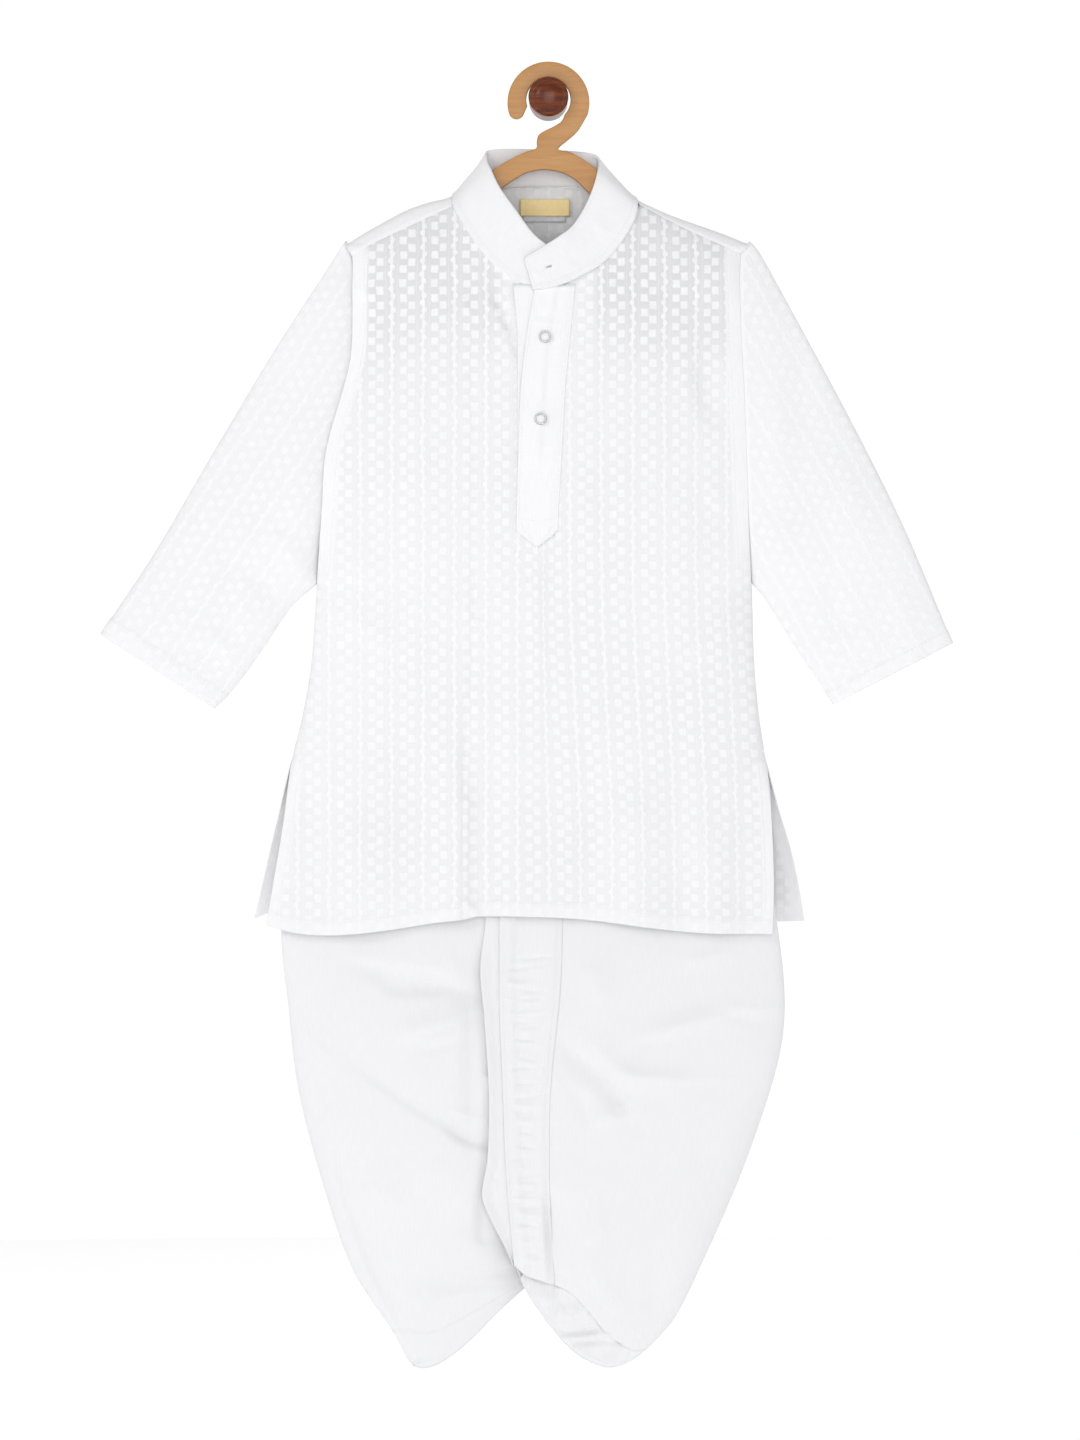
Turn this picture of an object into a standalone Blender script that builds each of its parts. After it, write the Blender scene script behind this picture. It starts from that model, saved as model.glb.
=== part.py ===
"""Child's kurta and stitched dhoti on a wooden hanger, hung from a turned wall knob.

Sizes are in millimetres and are turned into metres where a mesh is made. X runs to the
viewer's right, Z runs up and the wall is the plane Y = 0, with everything in front of it at
negative Y. The origin is the centre of the knob's flat back. Left and right are the viewer's.
"""
import math
from collections import namedtuple

import bmesh
import bpy
from mathutils import Vector

MM = 0.001

# Driving sizes
WALL = 1.2            # cloth, seam allowances and air between its layers included
COLLAR_WALL = 2.0     # two layers of cloth over an interlining
BAND_WALL = 2.0       # gathered elastic waistband
TRIM_WALL = 1.0       # plackets, labels and applied bands
SEAM = 0.3            # air left between two pieces that are sewn together
MID_Y = -34.0         # plane in which the hanger and the side seams lie
ARCH = 6.0            # radius of the cloth where it turns over the shoulder
TINY = 1.0e-4         # step used to find a surface's slope
ROUND_STEP = 0.012    # same round a flattened tube, long enough to round its two turns

# Finishes
WHITE_COTTON = (0.93, 0.93, 0.94)
WOOD_TAN = (0.58, 0.30, 0.09)
WOOD_DARK = (0.12, 0.035, 0.012)
METAL_GREY = (0.42, 0.42, 0.44)
SATIN_GOLD = (0.86, 0.64, 0.20)

# Turned wall knob
KNOB_STEM_R = 13.6
KNOB_HEAD_R = 14.0
KNOB_GROOVE_R = 10.7
KNOB_SIDES = 28

# Wooden hanger
HANGER_THICK = 8.0
HANGER_ROUND = 2.5
HANGER_DROP = WALL + 1.3   # wood's top edge under the outside of the shoulder ridge
HOOK_OUTER_R = 28.7
HOOK_OUTER_Z = -3.8
HOOK_INNER_R = 15.5
HOOK_INNER_Z = -1.6
HOOK_TIP = (-22.4, -9.6, 5.5)    # centre x, centre z and radius of the hook's rounded tip
ARM_DEPTH = 15.0

# Kurta
SHOULDER_TIP_Z = -103.7
ARMPIT_Z = -341.7
SLIT_Z = -461.0
ARMHOLE_HALF = 10.0        # half depth of the armhole at its middle
PROUD_HALF = 12.5          # same on the left front, whose edge laps over the sleeve
TUCK_STEP = 2.8            # how far behind that edge the sleeve starts
TUCK_REACH = 7.0           # how far under that edge the sleeve goes
ARMHOLE_GAP = 0.9          # air between the sleeve and the body at the armhole seam
ROUND_SIDE = 2.6           # superellipse power of the folded side below the armhole

# Dhoti
CENTRE_X = -12.0
WAIST_TOP_Z = -391.0
WAIST_HEIGHT = 25.0
WAIST_HALF = 115.0
WAIST_HALF_DEPTH = 17.4
LEG_POWER = 0.8
CLOSE_FROM = 0.80          # share of the leg where the inseam starts to close
CLOSE_TO = 0.92
BORDER_FROM = 0.10         # shares round the right hem between which its border shows
BORDER_TO = 0.88
BORDER_TUCK = 0.975        # share of the leg at which that border starts, behind the hem
FLAP_LIFT = 1.6            # how far the pleat flap's free edge stands off the leg

Edge = namedtuple("Edge", "z x")
Line = namedtuple("Line", "x z")
Depth = namedtuple("Depth", "z half")
Fold = namedtuple("Fold", "x0 z0 x1 z1 left right height end")
YokeRow = namedtuple("YokeRow", "u seam_x ridge_x nape_x nape_z foot_x foot_z")
CollarRow = namedtuple("CollarRow", "u foot_x foot_y foot_z top_x top_y top_z")
SleeveRow = namedtuple("SleeveRow", "t top_x top_z under_x under_z half")
LegRow = namedtuple("LegRow", "v outer_x outer_z inner_x inner_z half shift")
HemRow = namedtuple("HemRow", "c back_x back_z front_x front_z")
Strip = namedtuple("Strip", "z left right")

# Shoulder ridge, with the line that the cloth would follow across the open neck
SHOULDER = (
    Line(-142.8, -103.7), Line(-121.0, -90.6), Line(-100.7, -79.7), Line(-84.0, -73.6),
    Line(-67.5, -68.9), Line(-40.0, -50.0), Line(0.0, -40.0), Line(35.0, -50.0),
    Line(61.1, -70.6), Line(75.0, -77.6), Line(88.2, -83.4), Line(105.0, -89.6),
    Line(122.4, -95.7), Line(142.5, -103.7),
)
# Side edges shared by front, back and sleeves
BODY_LEFT = (
    Edge(-103.7, -142.8), Edge(-111.6, -137.5), Edge(-135.0, -137.1), Edge(-181.0, -138.2),
    Edge(-209.0, -144.8), Edge(-233.0, -152.0), Edge(-255.0, -156.6), Edge(-290.0, -158.6),
    Edge(-330.0, -161.3), Edge(-351.0, -162.8), Edge(-399.0, -166.6), Edge(-436.0, -173.0),
    Edge(-461.0, -179.0), Edge(-508.0, -185.4), Edge(-563.0, -194.5), Edge(-586.0, -198.9),
)
BODY_RIGHT = (
    Edge(-103.7, 142.5), Edge(-110.2, 134.8), Edge(-157.0, 134.5), Edge(-203.0, 136.8),
    Edge(-290.0, 140.0), Edge(-341.0, 142.4), Edge(-400.0, 144.4), Edge(-436.0, 147.7),
    Edge(-461.0, 151.4), Edge(-492.0, 155.1), Edge(-553.0, 157.6), Edge(-586.0, 156.6),
)
BACK_FLARE_LEFT = (Edge(-461.0, 0.0), Edge(-515.0, -6.0), Edge(-576.0, -9.6))
BACK_FLARE_RIGHT = (Edge(-461.0, 0.0), Edge(-491.0, 4.2), Edge(-527.0, 13.0), Edge(-580.0, 23.4))
BODY_DEPTH = (
    Depth(-60.0, 19.5), Depth(-200.0, 20.0), Depth(-341.0, 19.5), Depth(-420.0, 19.2),
    Depth(-500.0, 19.4), Depth(-586.0, 21.5),
)
SLIT_DEPTH = (Depth(-461.0, 0.0), Depth(-490.0, 6.0), Depth(-530.0, 10.0), Depth(-586.0, 12.0))

NECKLINE = (
    Line(-67.1, -76.6), Line(-64.5, -82.0), Line(-58.2, -91.0), Line(-43.5, -111.8),
    Line(-24.8, -127.5), Line(-10.1, -135.2), Line(4.0, -133.4), Line(22.3, -125.5),
    Line(41.0, -113.2), Line(56.7, -92.1), Line(62.0, -80.5), Line(64.1, -75.6),
)
YOKE_SEAM_LEFT = (Line(-137.5, -111.6), Line(-126.8, -104.8), Line(-67.1, -76.6))
YOKE_SEAM_RIGHT = (Line(64.1, -75.6), Line(88.0, -88.4), Line(125.4, -105.8), Line(134.8, -110.2))
FRONT_HEM = (
    Line(-198.9, -580.0), Line(-178.4, -585.2), Line(-155.9, -587.0), Line(-119.4, -584.3),
    Line(-82.0, -578.4), Line(-59.4, -575.7), Line(-49.1, -573.5), Line(11.2, -574.9),
    Line(36.1, -577.2), Line(72.0, -581.8), Line(108.0, -585.4), Line(156.6, -586.2),
)
BACK_HEM = (
    Line(-208.5, -575.7), Line(-196.1, -571.4), Line(-120.0, -572.0), Line(0.0, -570.0),
    Line(110.0, -572.0), Line(162.4, -578.0), Line(180.0, -577.4),
)
FRONT_FOLDS = (
    Fold(-57.0, -440.0, -59.4, -592.0, 15.0, 6.0, 4.5, 1.0),
    Fold(106.0, -170.0, 120.0, -240.0, 10.0, 10.0, -1.8, 0.0),
    Fold(-40.0, -132.0, -20.0, -172.0, 5.0, 5.0, -1.2, 0.0),
    Fold(58.0, -470.0, 66.0, -592.0, 18.0, 18.0, 2.6, 1.0),
    Fold(-128.0, -490.0, -134.0, -592.0, 16.0, 16.0, 2.4, 1.0),
    Fold(112.0, -500.0, 118.0, -592.0, 14.0, 14.0, 1.6, 1.0),
)
BACK_FOLDS = (
    Fold(-70.0, -300.0, -92.0, -592.0, 20.0, 20.0, 3.0, 1.0),
    Fold(10.0, -360.0, 6.0, -592.0, 18.0, 18.0, 2.4, 1.0),
    Fold(88.0, -280.0, 108.0, -592.0, 22.0, 22.0, 3.0, 1.0),
)

# Yoke from the front seam over the shoulder ridge to the back seam
YOKE = (
    YokeRow(0.0, -137.5, -142.8, -137.5, -111.6, -137.1, -136.0),
    YokeRow(0.1, -115.0, -117.6, -116.0, -96.4, -112.0, -134.0),
    YokeRow(0.2, -91.0, -92.0, -88.0, -82.4, -85.0, -133.0),
    YokeRow(0.3, -67.1, -67.5, -58.0, -66.2, -56.0, -132.0),
    YokeRow(0.4, -33.0, -33.0, -31.0, -62.2, -29.0, -131.0),
    YokeRow(0.5, 0.0, 0.0, 0.0, -61.4, 0.0, -130.0),
    YokeRow(0.6, 30.0, 30.0, 28.0, -63.0, 27.0, -131.0),
    YokeRow(0.7, 64.1, 61.1, 53.0, -67.4, 52.0, -132.0),
    YokeRow(0.8, 87.0, 88.2, 84.0, -87.0, 80.0, -133.0),
    YokeRow(0.9, 111.0, 115.0, 113.0, -99.6, 108.0, -134.0),
    YokeRow(1.0, 134.8, 142.5, 134.8, -110.2, 134.5, -136.0),
)
YOKE_NECK = (0.3, 0.7)    # columns between which the neck is open
YOKE_RIDGE = 0.3          # share from the front seam at which the yoke passes the ridge
YOKE_NAPE = 0.6           # share at which it passes the line of the nape

# Band collar, from the upper end round the right side and the nape to the under end
COLLAR = (
    CollarRow(0.00, -11.2, -56.8, -134.8, -17.0, -54.9, -113.8),
    CollarRow(0.05, 3.5, -56.6, -132.6, -8.0, -54.4, -108.2),
    CollarRow(0.11, 22.6, -55.4, -125.0, 5.6, -52.6, -99.6),
    CollarRow(0.18, 41.2, -53.0, -112.6, 17.4, -50.0, -90.2),
    CollarRow(0.25, 56.8, -49.6, -91.4, 27.6, -46.6, -73.0),
    CollarRow(0.31, 61.8, -44.2, -75.8, 34.2, -42.2, -54.6),
    CollarRow(0.36, 60.0, -33.6, -69.2, 35.8, -32.6, -44.6),
    CollarRow(0.42, 51.4, -25.6, -65.6, 31.2, -25.4, -38.8),
    CollarRow(0.48, 28.0, -21.4, -61.6, 16.0, -22.6, -36.8),
    CollarRow(0.54, 0.0, -20.0, -60.0, -5.0, -21.8, -35.6),
    CollarRow(0.60, -31.0, -21.2, -60.8, -27.0, -22.8, -35.2),
    CollarRow(0.66, -56.4, -26.2, -64.8, -42.4, -26.0, -36.6),
    CollarRow(0.71, -66.4, -33.8, -67.4, -43.6, -33.4, -42.0),
    CollarRow(0.76, -66.0, -44.0, -76.0, -40.0, -42.2, -51.6),
    CollarRow(0.82, -57.8, -49.4, -90.8, -33.9, -46.4, -64.0),
    CollarRow(0.89, -43.4, -52.4, -111.4, -22.2, -48.8, -80.6),
    CollarRow(0.95, -24.7, -53.4, -127.2, -10.0, -50.6, -97.0),
    CollarRow(1.00, -7.6, -53.8, -134.4, 3.0, -51.6, -107.4),
)
COLLAR_SEAM = 0.97    # share of the band's height that is built above the neck seam

PLACKET_UPPER = (
    Strip(-135.0, -9.6, 18.6), Strip(-166.6, -15.1, 15.6), Strip(-201.5, -19.1, 12.2),
    Strip(-248.3, -21.1, 9.7), Strip(-296.5, -22.4, 6.8), Strip(-304.6, -22.5, 6.2),
)
PLACKET_TIP = (-9.7, -315.9)
PLACKET_UNDER = (
    Strip(-135.0, -24.4, 2.0), Strip(-166.0, -21.8, -3.0), Strip(-201.5, -21.6, -7.0),
    Strip(-248.0, -21.4, -9.0),
)
SNAPS = (Line(-2.4, -168.9), Line(-5.5, -226.2))
SNAP_RING_R = 4.2
SNAP_HOLE_R = 2.9
SNAP_CAP_R = 2.5
SNAP_HEIGHT = 1.2

Label = namedtuple("Label", "left right top bottom")
SIZE_LABEL = Label(-17.9, 12.0, -71.0, -86.2)
NECK_LABEL = Label(-19.9, 15.0, -70.6, -82.3)
LABEL_GAP = 0.4       # air between the yoke's inside and the label sewn on it

SLEEVE_LEFT = (
    SleeveRow(0.00, -142.8, -103.7, -162.9, -341.7, 10.0),
    SleeveRow(0.06, -154.0, -120.8, -167.0, -345.2, 9.6),
    SleeveRow(0.24, -189.6, -174.3, -180.0, -357.0, 9.2),
    SleeveRow(0.50, -233.4, -246.5, -199.0, -385.0, 9.0),
    SleeveRow(0.78, -277.1, -320.9, -219.0, -412.8, 8.6),
    SleeveRow(1.00, -314.0, -376.2, -234.3, -428.3, 8.5),
)
SLEEVE_RIGHT = (
    SleeveRow(0.00, 142.8, -103.7, 143.0, -341.7, 10.0),
    SleeveRow(0.06, 148.5, -111.6, 148.6, -347.6, 9.6),
    SleeveRow(0.24, 171.0, -151.2, 160.0, -364.4, 9.2),
    SleeveRow(0.50, 210.6, -224.0, 172.6, -384.8, 9.0),
    SleeveRow(0.78, 249.0, -301.0, 189.4, -409.6, 8.6),
    SleeveRow(1.00, 283.4, -382.5, 199.9, -425.5, 8.5),
)

LEG_LEFT = (
    LegRow(0.00, -126.0, -416.3, -12.0, -416.3, 14.2, 0.0),
    LegRow(0.10, -150.0, -455.0, -12.0, -455.0, 14.0, 0.0),
    LegRow(0.20, -170.0, -500.0, -12.0, -500.0, 14.0, 0.0),
    LegRow(0.38, -187.4, -583.0, -12.0, -583.0, 15.0, 0.0),
    LegRow(0.50, -182.6, -634.7, -12.0, -634.0, 19.0, 0.0),
    LegRow(0.62, -175.4, -695.0, -12.0, -688.0, 22.5, 0.0),
    LegRow(0.76, -158.5, -760.1, -12.0, -744.0, 23.0, 0.0),
    LegRow(0.90, -136.8, -822.8, -12.0, -796.0, 16.0, 2.5),
    LegRow(0.96, -115.1, -856.4, -14.0, -820.0, 11.5, 3.5),
    LegRow(1.00, -105.5, -868.5, -16.7, -834.0, 8.5, 4.0),
)
LEG_RIGHT = (
    LegRow(0.00, 104.0, -416.3, -12.0, -416.3, 14.2, 0.0),
    LegRow(0.10, 127.0, -455.0, -12.0, -455.0, 14.0, 0.0),
    LegRow(0.20, 146.0, -500.0, -12.0, -500.0, 14.0, 0.0),
    LegRow(0.38, 160.9, -583.0, -12.0, -583.0, 15.0, 0.0),
    LegRow(0.50, 165.7, -634.7, -12.0, -634.0, 19.0, 0.0),
    LegRow(0.62, 160.4, -678.0, -12.0, -688.0, 22.5, 0.0),
    LegRow(0.76, 139.0, -743.0, -12.0, -744.0, 23.0, 0.0),
    LegRow(0.90, 106.7, -817.9, -12.0, -788.0, 15.0, -6.5),
    LegRow(0.96, 87.4, -856.4, -18.6, -806.0, 11.5, -8.0),
    LegRow(1.00, 68.1, -877.0, -23.5, -817.9, 8.5, -8.5),
)
HEM_LEFT = (
    HemRow(0.00, -105.5, -868.5, -105.5, -868.5), HemRow(0.10, -98.3, -885.0, -98.3, -885.0),
    HemRow(0.22, -88.6, -890.7, -88.6, -890.7), HemRow(0.36, -75.6, -887.0, -75.6, -887.0),
    HemRow(0.56, -57.3, -873.3, -57.3, -873.3), HemRow(0.80, -34.0, -850.0, -34.0, -850.0),
    HemRow(1.00, -16.7, -834.0, -16.7, -834.0),
)
HEM_RIGHT = (
    HemRow(0.00, 68.1, -877.0, 68.1, -877.0), HemRow(0.14, 56.1, -885.4, 60.0, -877.6),
    HemRow(0.28, 42.8, -889.0, 50.2, -872.6), HemRow(0.43, 29.5, -885.4, 39.0, -864.0),
    HemRow(0.58, 15.1, -875.8, 28.0, -850.0), HemRow(0.76, -1.8, -856.4, 13.0, -835.6),
    HemRow(0.91, -16.2, -834.7, -8.0, -826.4), HemRow(1.00, -23.5, -817.9, -23.5, -817.9),
)
LEG_FOLDS = (
    Fold(-122.0, -622.0, -50.0, -620.0, 7.0, 7.0, -2.6, 0.0),
    Fold(-122.0, -662.0, -54.0, -638.0, 9.0, 9.0, 2.6, 0.0),
    Fold(-74.0, -714.0, -48.0, -733.0, 6.0, 6.0, -2.0, 0.0),
    Fold(-136.0, -768.0, -104.0, -868.0, 8.0, 8.0, -1.6, 0.0),
    Fold(-94.0, -836.0, -30.0, -832.0, 7.0, 7.0, -1.8, 0.0),
    Fold(-53.0, -585.0, -53.0, -770.0, 7.0, 7.0, -2.6, 0.0),
    Fold(18.0, -656.0, 60.0, -716.0, 7.0, 7.0, -2.4, 0.0),
    Fold(36.0, -690.0, 104.0, -688.0, 8.0, 8.0, 2.0, 0.0),
    Fold(60.0, -656.0, 138.0, -640.0, 8.0, 8.0, 1.8, 0.0),
)
FRONT_BAND = (
    Strip(-418.0, -34.4, 11.0), Strip(-574.0, -34.4, 10.2), Strip(-622.7, -34.4, 8.6),
    Strip(-697.3, -31.9, 1.6), Strip(-755.0, -29.5, 0.8), Strip(-815.5, -24.7, 4.2),
    Strip(-826.0, -20.0, 5.4),
)
PLEAT_FLAP = (
    Strip(-440.0, -43.0, -31.4), Strip(-574.4, -44.0, -31.4), Strip(-610.6, -47.6, -31.4),
    Strip(-646.7, -44.6, -30.8), Strip(-707.0, -41.4, -28.6), Strip(-743.2, -42.6, -27.2),
    Strip(-767.3, -46.4, -26.4), Strip(-784.0, -40.6, -25.4), Strip(-803.0, -31.0, -23.8),
)

# Hanger board: stem and bare middle of the arms, both of whose ends follow the shoulder
ARM_STATIONS = (80.0, 92.0, 104.0, 114.0, 122.0)
ARM_TIP_X = 126.0
STEM_LEFT = (
    Line(-8.7, -35.8), Line(-8.2, -31.0), Line(-6.9, -26.6), Line(-2.2, -23.4), Line(4.4, -20.2),
    Line(9.2, -16.8),
)
STEM_RIGHT = (Line(20.7, -23.3), Line(13.4, -30.0), Line(7.8, -34.6), Line(7.4, -36.8))
ARM_LEFT_TOP = (
    Line(-15.5, -38.2), Line(-23.4, -41.8), Line(-31.5, -46.2), Line(-38.6, -50.9),
    Line(-48.0, -58.4), Line(-58.0, -67.0), Line(-67.5, -72.4),
)
ARM_RIGHT_TOP = (
    Line(15.0, -38.6), Line(23.5, -43.0), Line(30.4, -48.0), Line(36.1, -53.3),
    Line(46.0, -63.6), Line(58.0, -73.6), Line(68.0, -77.6),
)
CROTCH = (
    Line(68.0, -92.6), Line(54.0, -86.0), Line(42.0, -78.0), Line(29.6, -68.2),
    Line(20.0, -58.8), Line(10.7, -53.2), Line(-2.2, -50.7), Line(-16.4, -53.3),
    Line(-33.6, -64.3), Line(-44.0, -72.4), Line(-55.0, -81.0), Line(-67.5, -87.4),
)


def lerp(a, b, t):
    """Value a share t of the way from a to b."""
    return a + (b - a) * t


def ease(t):
    """Smooth step from 0 to 1."""
    t = min(max(t, 0.0), 1.0)
    return t * t * (3.0 - 2.0 * t)


def along(rows, key, value, place, smooth=True):
    """Reads the column named value where the column named key equals place."""
    keys = [getattr(row, key) for row in rows]
    values = [getattr(row, value) for row in rows]
    if keys[0] > keys[-1]:
        keys.reverse()
        values.reverse()
    place = min(max(place, keys[0]), keys[-1])
    last = len(keys) - 2
    i = 0
    while i < last and place > keys[i + 1]:
        i += 1
    span = keys[i + 1] - keys[i]
    t = (place - keys[i]) / span
    if not smooth:
        return lerp(values[i], values[i + 1], t)

    def slope(j):
        """Slope at row j, flat where the values turn back."""
        before = max(j - 1, 0)
        after = min(j + 1, len(keys) - 1)
        rise = (values[j] - values[before]) * (values[after] - values[j])
        if 0 < j < len(keys) - 1 and rise <= 0.0:
            return 0.0
        return (values[after] - values[before]) / (keys[after] - keys[before])

    start = slope(i) * span
    end = slope(i + 1) * span
    return (
        values[i] * (1.0 + 2.0 * t) * (1.0 - t) ** 2
        + start * t * (1.0 - t) ** 2
        + values[i + 1] * t * t * (3.0 - 2.0 * t)
        - end * t * t * (1.0 - t)
    )


def fold_height(folds, x, z):
    """Sum of the folds at a place, each a soft ridge or trough beside its own line."""
    total = 0.0
    for fold in folds:
        run_x = fold.x1 - fold.x0
        run_z = fold.z1 - fold.z0
        length = math.hypot(run_x, run_z)
        t = ((x - fold.x0) * run_x + (z - fold.z0) * run_z) / length ** 2
        if t <= 0.0 or t >= 1.0:
            continue
        side = ((x - fold.x0) * run_z - (z - fold.z0) * run_x) / length
        width = fold.left if side > 0.0 else fold.right
        rise = ease(t / 0.4)
        fall = lerp(1.0 - ease((t - 0.6) / 0.4), 1.0, fold.end)
        total += fold.height * rise * fall * math.exp(-((side / width) ** 2))
    return total


def slope_normal(surface, u, v):
    """Unit normal of a surface given as a function of two shares."""
    step = TINY
    across = surface(min(u + step, 1.0), v) - surface(max(u - step, 0.0), v)
    down = surface(u, min(v + step, 1.0)) - surface(u, max(v - step, 0.0))
    return across.cross(down).normalized()


def moved_out(surface, lift):
    """The same surface moved out along its own normal."""

    def moved(u, v):
        """One point of the moved surface."""
        return surface(u, v) + slope_normal(surface, u, v) * lift

    return moved


def clear_scene():
    """Removes whatever the file holds."""
    for old in list(bpy.data.objects):
        bpy.data.objects.remove(old, do_unlink=True)


def make_material(name, colour, roughness, metallic=0.0):
    """Plain finish of one sub-part."""
    material = bpy.data.materials.new(name)
    material.use_nodes = True
    shader = material.node_tree.nodes["Principled BSDF"]
    shader.inputs["Base Color"].default_value = (*colour, 1.0)
    shader.inputs["Roughness"].default_value = roughness
    shader.inputs["Metallic"].default_value = metallic
    material.diffuse_color = (*colour, 1.0)
    return material


def finish_object(name, mesh_data, colour, roughness, metallic=0.0, sharp=40.0):
    """Scales a mesh to metres and puts it in the scene under its node's name."""
    bmesh.ops.scale(mesh_data, vec=(MM, MM, MM), verts=mesh_data.verts[:])
    mesh = bpy.data.meshes.new(name)
    mesh_data.to_mesh(mesh)
    mesh_data.free()
    mesh.shade_smooth()
    mesh.set_sharp_from_angle(angle=math.radians(sharp))
    mesh.materials.append(make_material(name + "_finish", colour, roughness, metallic))
    thing = bpy.data.objects.new(name, mesh)
    bpy.context.scene.collection.objects.link(thing)
    return thing


def cloth(name, columns, rows, outer, inner, closed=False, keep=None, colour=None):
    """Wall between two surfaces of the same two shares, as one closed body."""
    sheet = bmesh.new()
    bmesh.ops.create_grid(sheet, x_segments=columns, y_segments=rows, size=0.5)
    across = sheet.verts.layers.float.new("across")
    down = sheet.verts.layers.float.new("down")
    for vert in sheet.verts:
        vert[across] = round((vert.co.x + 0.5) * columns) / columns
        vert[down] = round((0.5 - vert.co.y) * rows) / rows
    if keep:
        spare = []
        for face in sheet.faces:
            u = sum(vert[across] for vert in face.verts) / 4.0
            v = sum(vert[down] for vert in face.verts) / 4.0
            if not keep(u, v):
                spare.append(face)
        bmesh.ops.delete(sheet, geom=spare, context="FACES")
    if closed:
        for vert in sheet.verts:
            angle = 2.0 * math.pi * vert[across]
            vert.co = (math.cos(angle), math.sin(angle), vert[down])
        bmesh.ops.remove_doubles(sheet, verts=sheet.verts[:], dist=TINY)
    copied = bmesh.ops.extrude_face_region(sheet, geom=sheet.faces[:], use_keep_orig=True)
    lifted = {item for item in copied["geom"] if isinstance(item, bmesh.types.BMVert)}
    for vert in sheet.verts:
        surface = outer if vert in lifted else inner
        vert.co = surface(vert[across] % 1.0 if closed else vert[across], vert[down])
    bmesh.ops.recalc_face_normals(sheet, faces=sheet.faces[:])
    return finish_object(name, sheet, colour or WHITE_COTTON, 0.85)


def turned(name, profile, place, sides, colour, roughness, metallic=0.0):
    """Turns a profile of (distance from the wall side, radius) about a line along Y."""
    shape = bmesh.new()
    points = [shape.verts.new((radius, -out, 0.0)) for out, radius in profile]
    edges = [shape.edges.new(pair) for pair in zip(points, points[1:])]
    bmesh.ops.spin(
        shape, geom=points + edges, cent=(0.0, 0.0, 0.0), axis=(0.0, 1.0, 0.0),
        angle=2.0 * math.pi, steps=sides, use_merge=True, use_duplicate=False,
    )
    bmesh.ops.remove_doubles(shape, verts=shape.verts[:], dist=TINY)
    bmesh.ops.recalc_face_normals(shape, faces=shape.faces[:])
    bmesh.ops.translate(shape, vec=place, verts=shape.verts[:])
    return finish_object(name, shape, colour, roughness, metallic)


def ridge(x):
    """Height of the shoulder ridge."""
    return along(SHOULDER, "x", "z", x)


def body_edges(z, back):
    """Side edges of the body at one height."""
    left = along(BODY_LEFT, "z", "x", z)
    right = along(BODY_RIGHT, "z", "x", z)
    if back:
        left += along(BACK_FLARE_LEFT, "z", "x", z)
        right += along(BACK_FLARE_RIGHT, "z", "x", z)
    return left, right


def loop_share(f):
    """Depth of a flattened loop a share f of the way down it, blunt above and round below."""
    circle = 2.0 * math.sqrt(max(f * (1.0 - f), 0.0))
    return circle ** lerp(0.5, 1.0, ease(f / 0.5))


def armhole_share(z):
    """How deep the armhole loop is at one height, 0 at its two ends and 1 halfway."""
    f = (SHOULDER_TIP_Z - z) / (SHOULDER_TIP_Z - ARMPIT_Z)
    return loop_share(f) if 0.0 < f < 1.0 else 0.0


def half_depth(x, z, back):
    """Distance of the body's outside from the middle plane, before its folds."""
    left, right = body_edges(z, back)
    u = min(abs(2.0 * (x - left) / (right - left) - 1.0), 1.0)
    limit = along(BODY_DEPTH, "z", "half", z)
    drop = max(ridge(x) - z, 0.0)
    full = limit * math.sqrt(1.0 - math.exp(-2.0 * ARCH * drop / limit ** 2))
    proud = PROUD_HALF if x < 0.0 and not back else ARMHOLE_HALF
    edge = proud * armhole_share(z) + along(SLIT_DEPTH, "z", "half", z)
    soft = 1.0 - u ** lerp(24.0, 4.0, ease(drop / 60.0))
    rounded = (1.0 - u ** ROUND_SIDE) ** (1.0 / ROUND_SIDE)
    turn = ease((-280.0 - z) / 60.0) * (1.0 - ease((SLIT_Z - z) / 45.0))
    return edge + (full - edge) * lerp(soft, rounded, turn)


def front_point(x, z):
    """Point on the outside of the front."""
    depth = half_depth(x, z, False) + fold_height(FRONT_FOLDS, x, z)
    return Vector((x, MID_Y - SEAM / 2.0 - depth, z))


def back_point(x, z):
    """Point on the outside of the back."""
    depth = half_depth(x, z, True) + fold_height(BACK_FOLDS, x, z)
    return Vector((x, MID_Y + SEAM / 2.0 + depth, z))


def front_top(x):
    """Upper edge of the front panel: yoke seam, neckline, yoke seam."""
    if x < NECKLINE[0].x:
        return along(YOKE_SEAM_LEFT, "x", "z", x)
    if x > NECKLINE[-1].x:
        return along(YOKE_SEAM_RIGHT, "x", "z", x)
    return along(NECKLINE, "x", "z", x)


def shoulder_spacing(u, neck_left, neck_right):
    """Share of the width for a column: dense at the side edges, a column at each neck corner."""
    if u < 0.25:
        return neck_left * (u / 0.25) ** 1.5
    if u > 0.75:
        return 1.0 - (1.0 - neck_right) * ((1.0 - u) / 0.25) ** 1.5
    return lerp(neck_left, neck_right, (u - 0.25) / 0.5)


def front_surface(u, v):
    """Outside of the front panel."""
    left, right = YOKE_SEAM_LEFT[0].x, YOKE_SEAM_RIGHT[-1].x
    width = right - left
    neck_left = (NECKLINE[0].x - left) / width
    neck_right = (NECKLINE[-1].x - left) / width
    s = shoulder_spacing(u, neck_left, neck_right)
    top = front_top(lerp(left, right, s)) - 2.0 * SEAM
    hem_left, hem_right = FRONT_HEM[0].x, FRONT_HEM[-1].x
    bottom = along(FRONT_HEM, "x", "z", lerp(hem_left, hem_right, s))
    z = lerp(top, bottom, v)
    edge_left, edge_right = body_edges(min(z, YOKE_SEAM_LEFT[0].z), False)
    return front_point(lerp(edge_left, edge_right, s), z)


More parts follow.
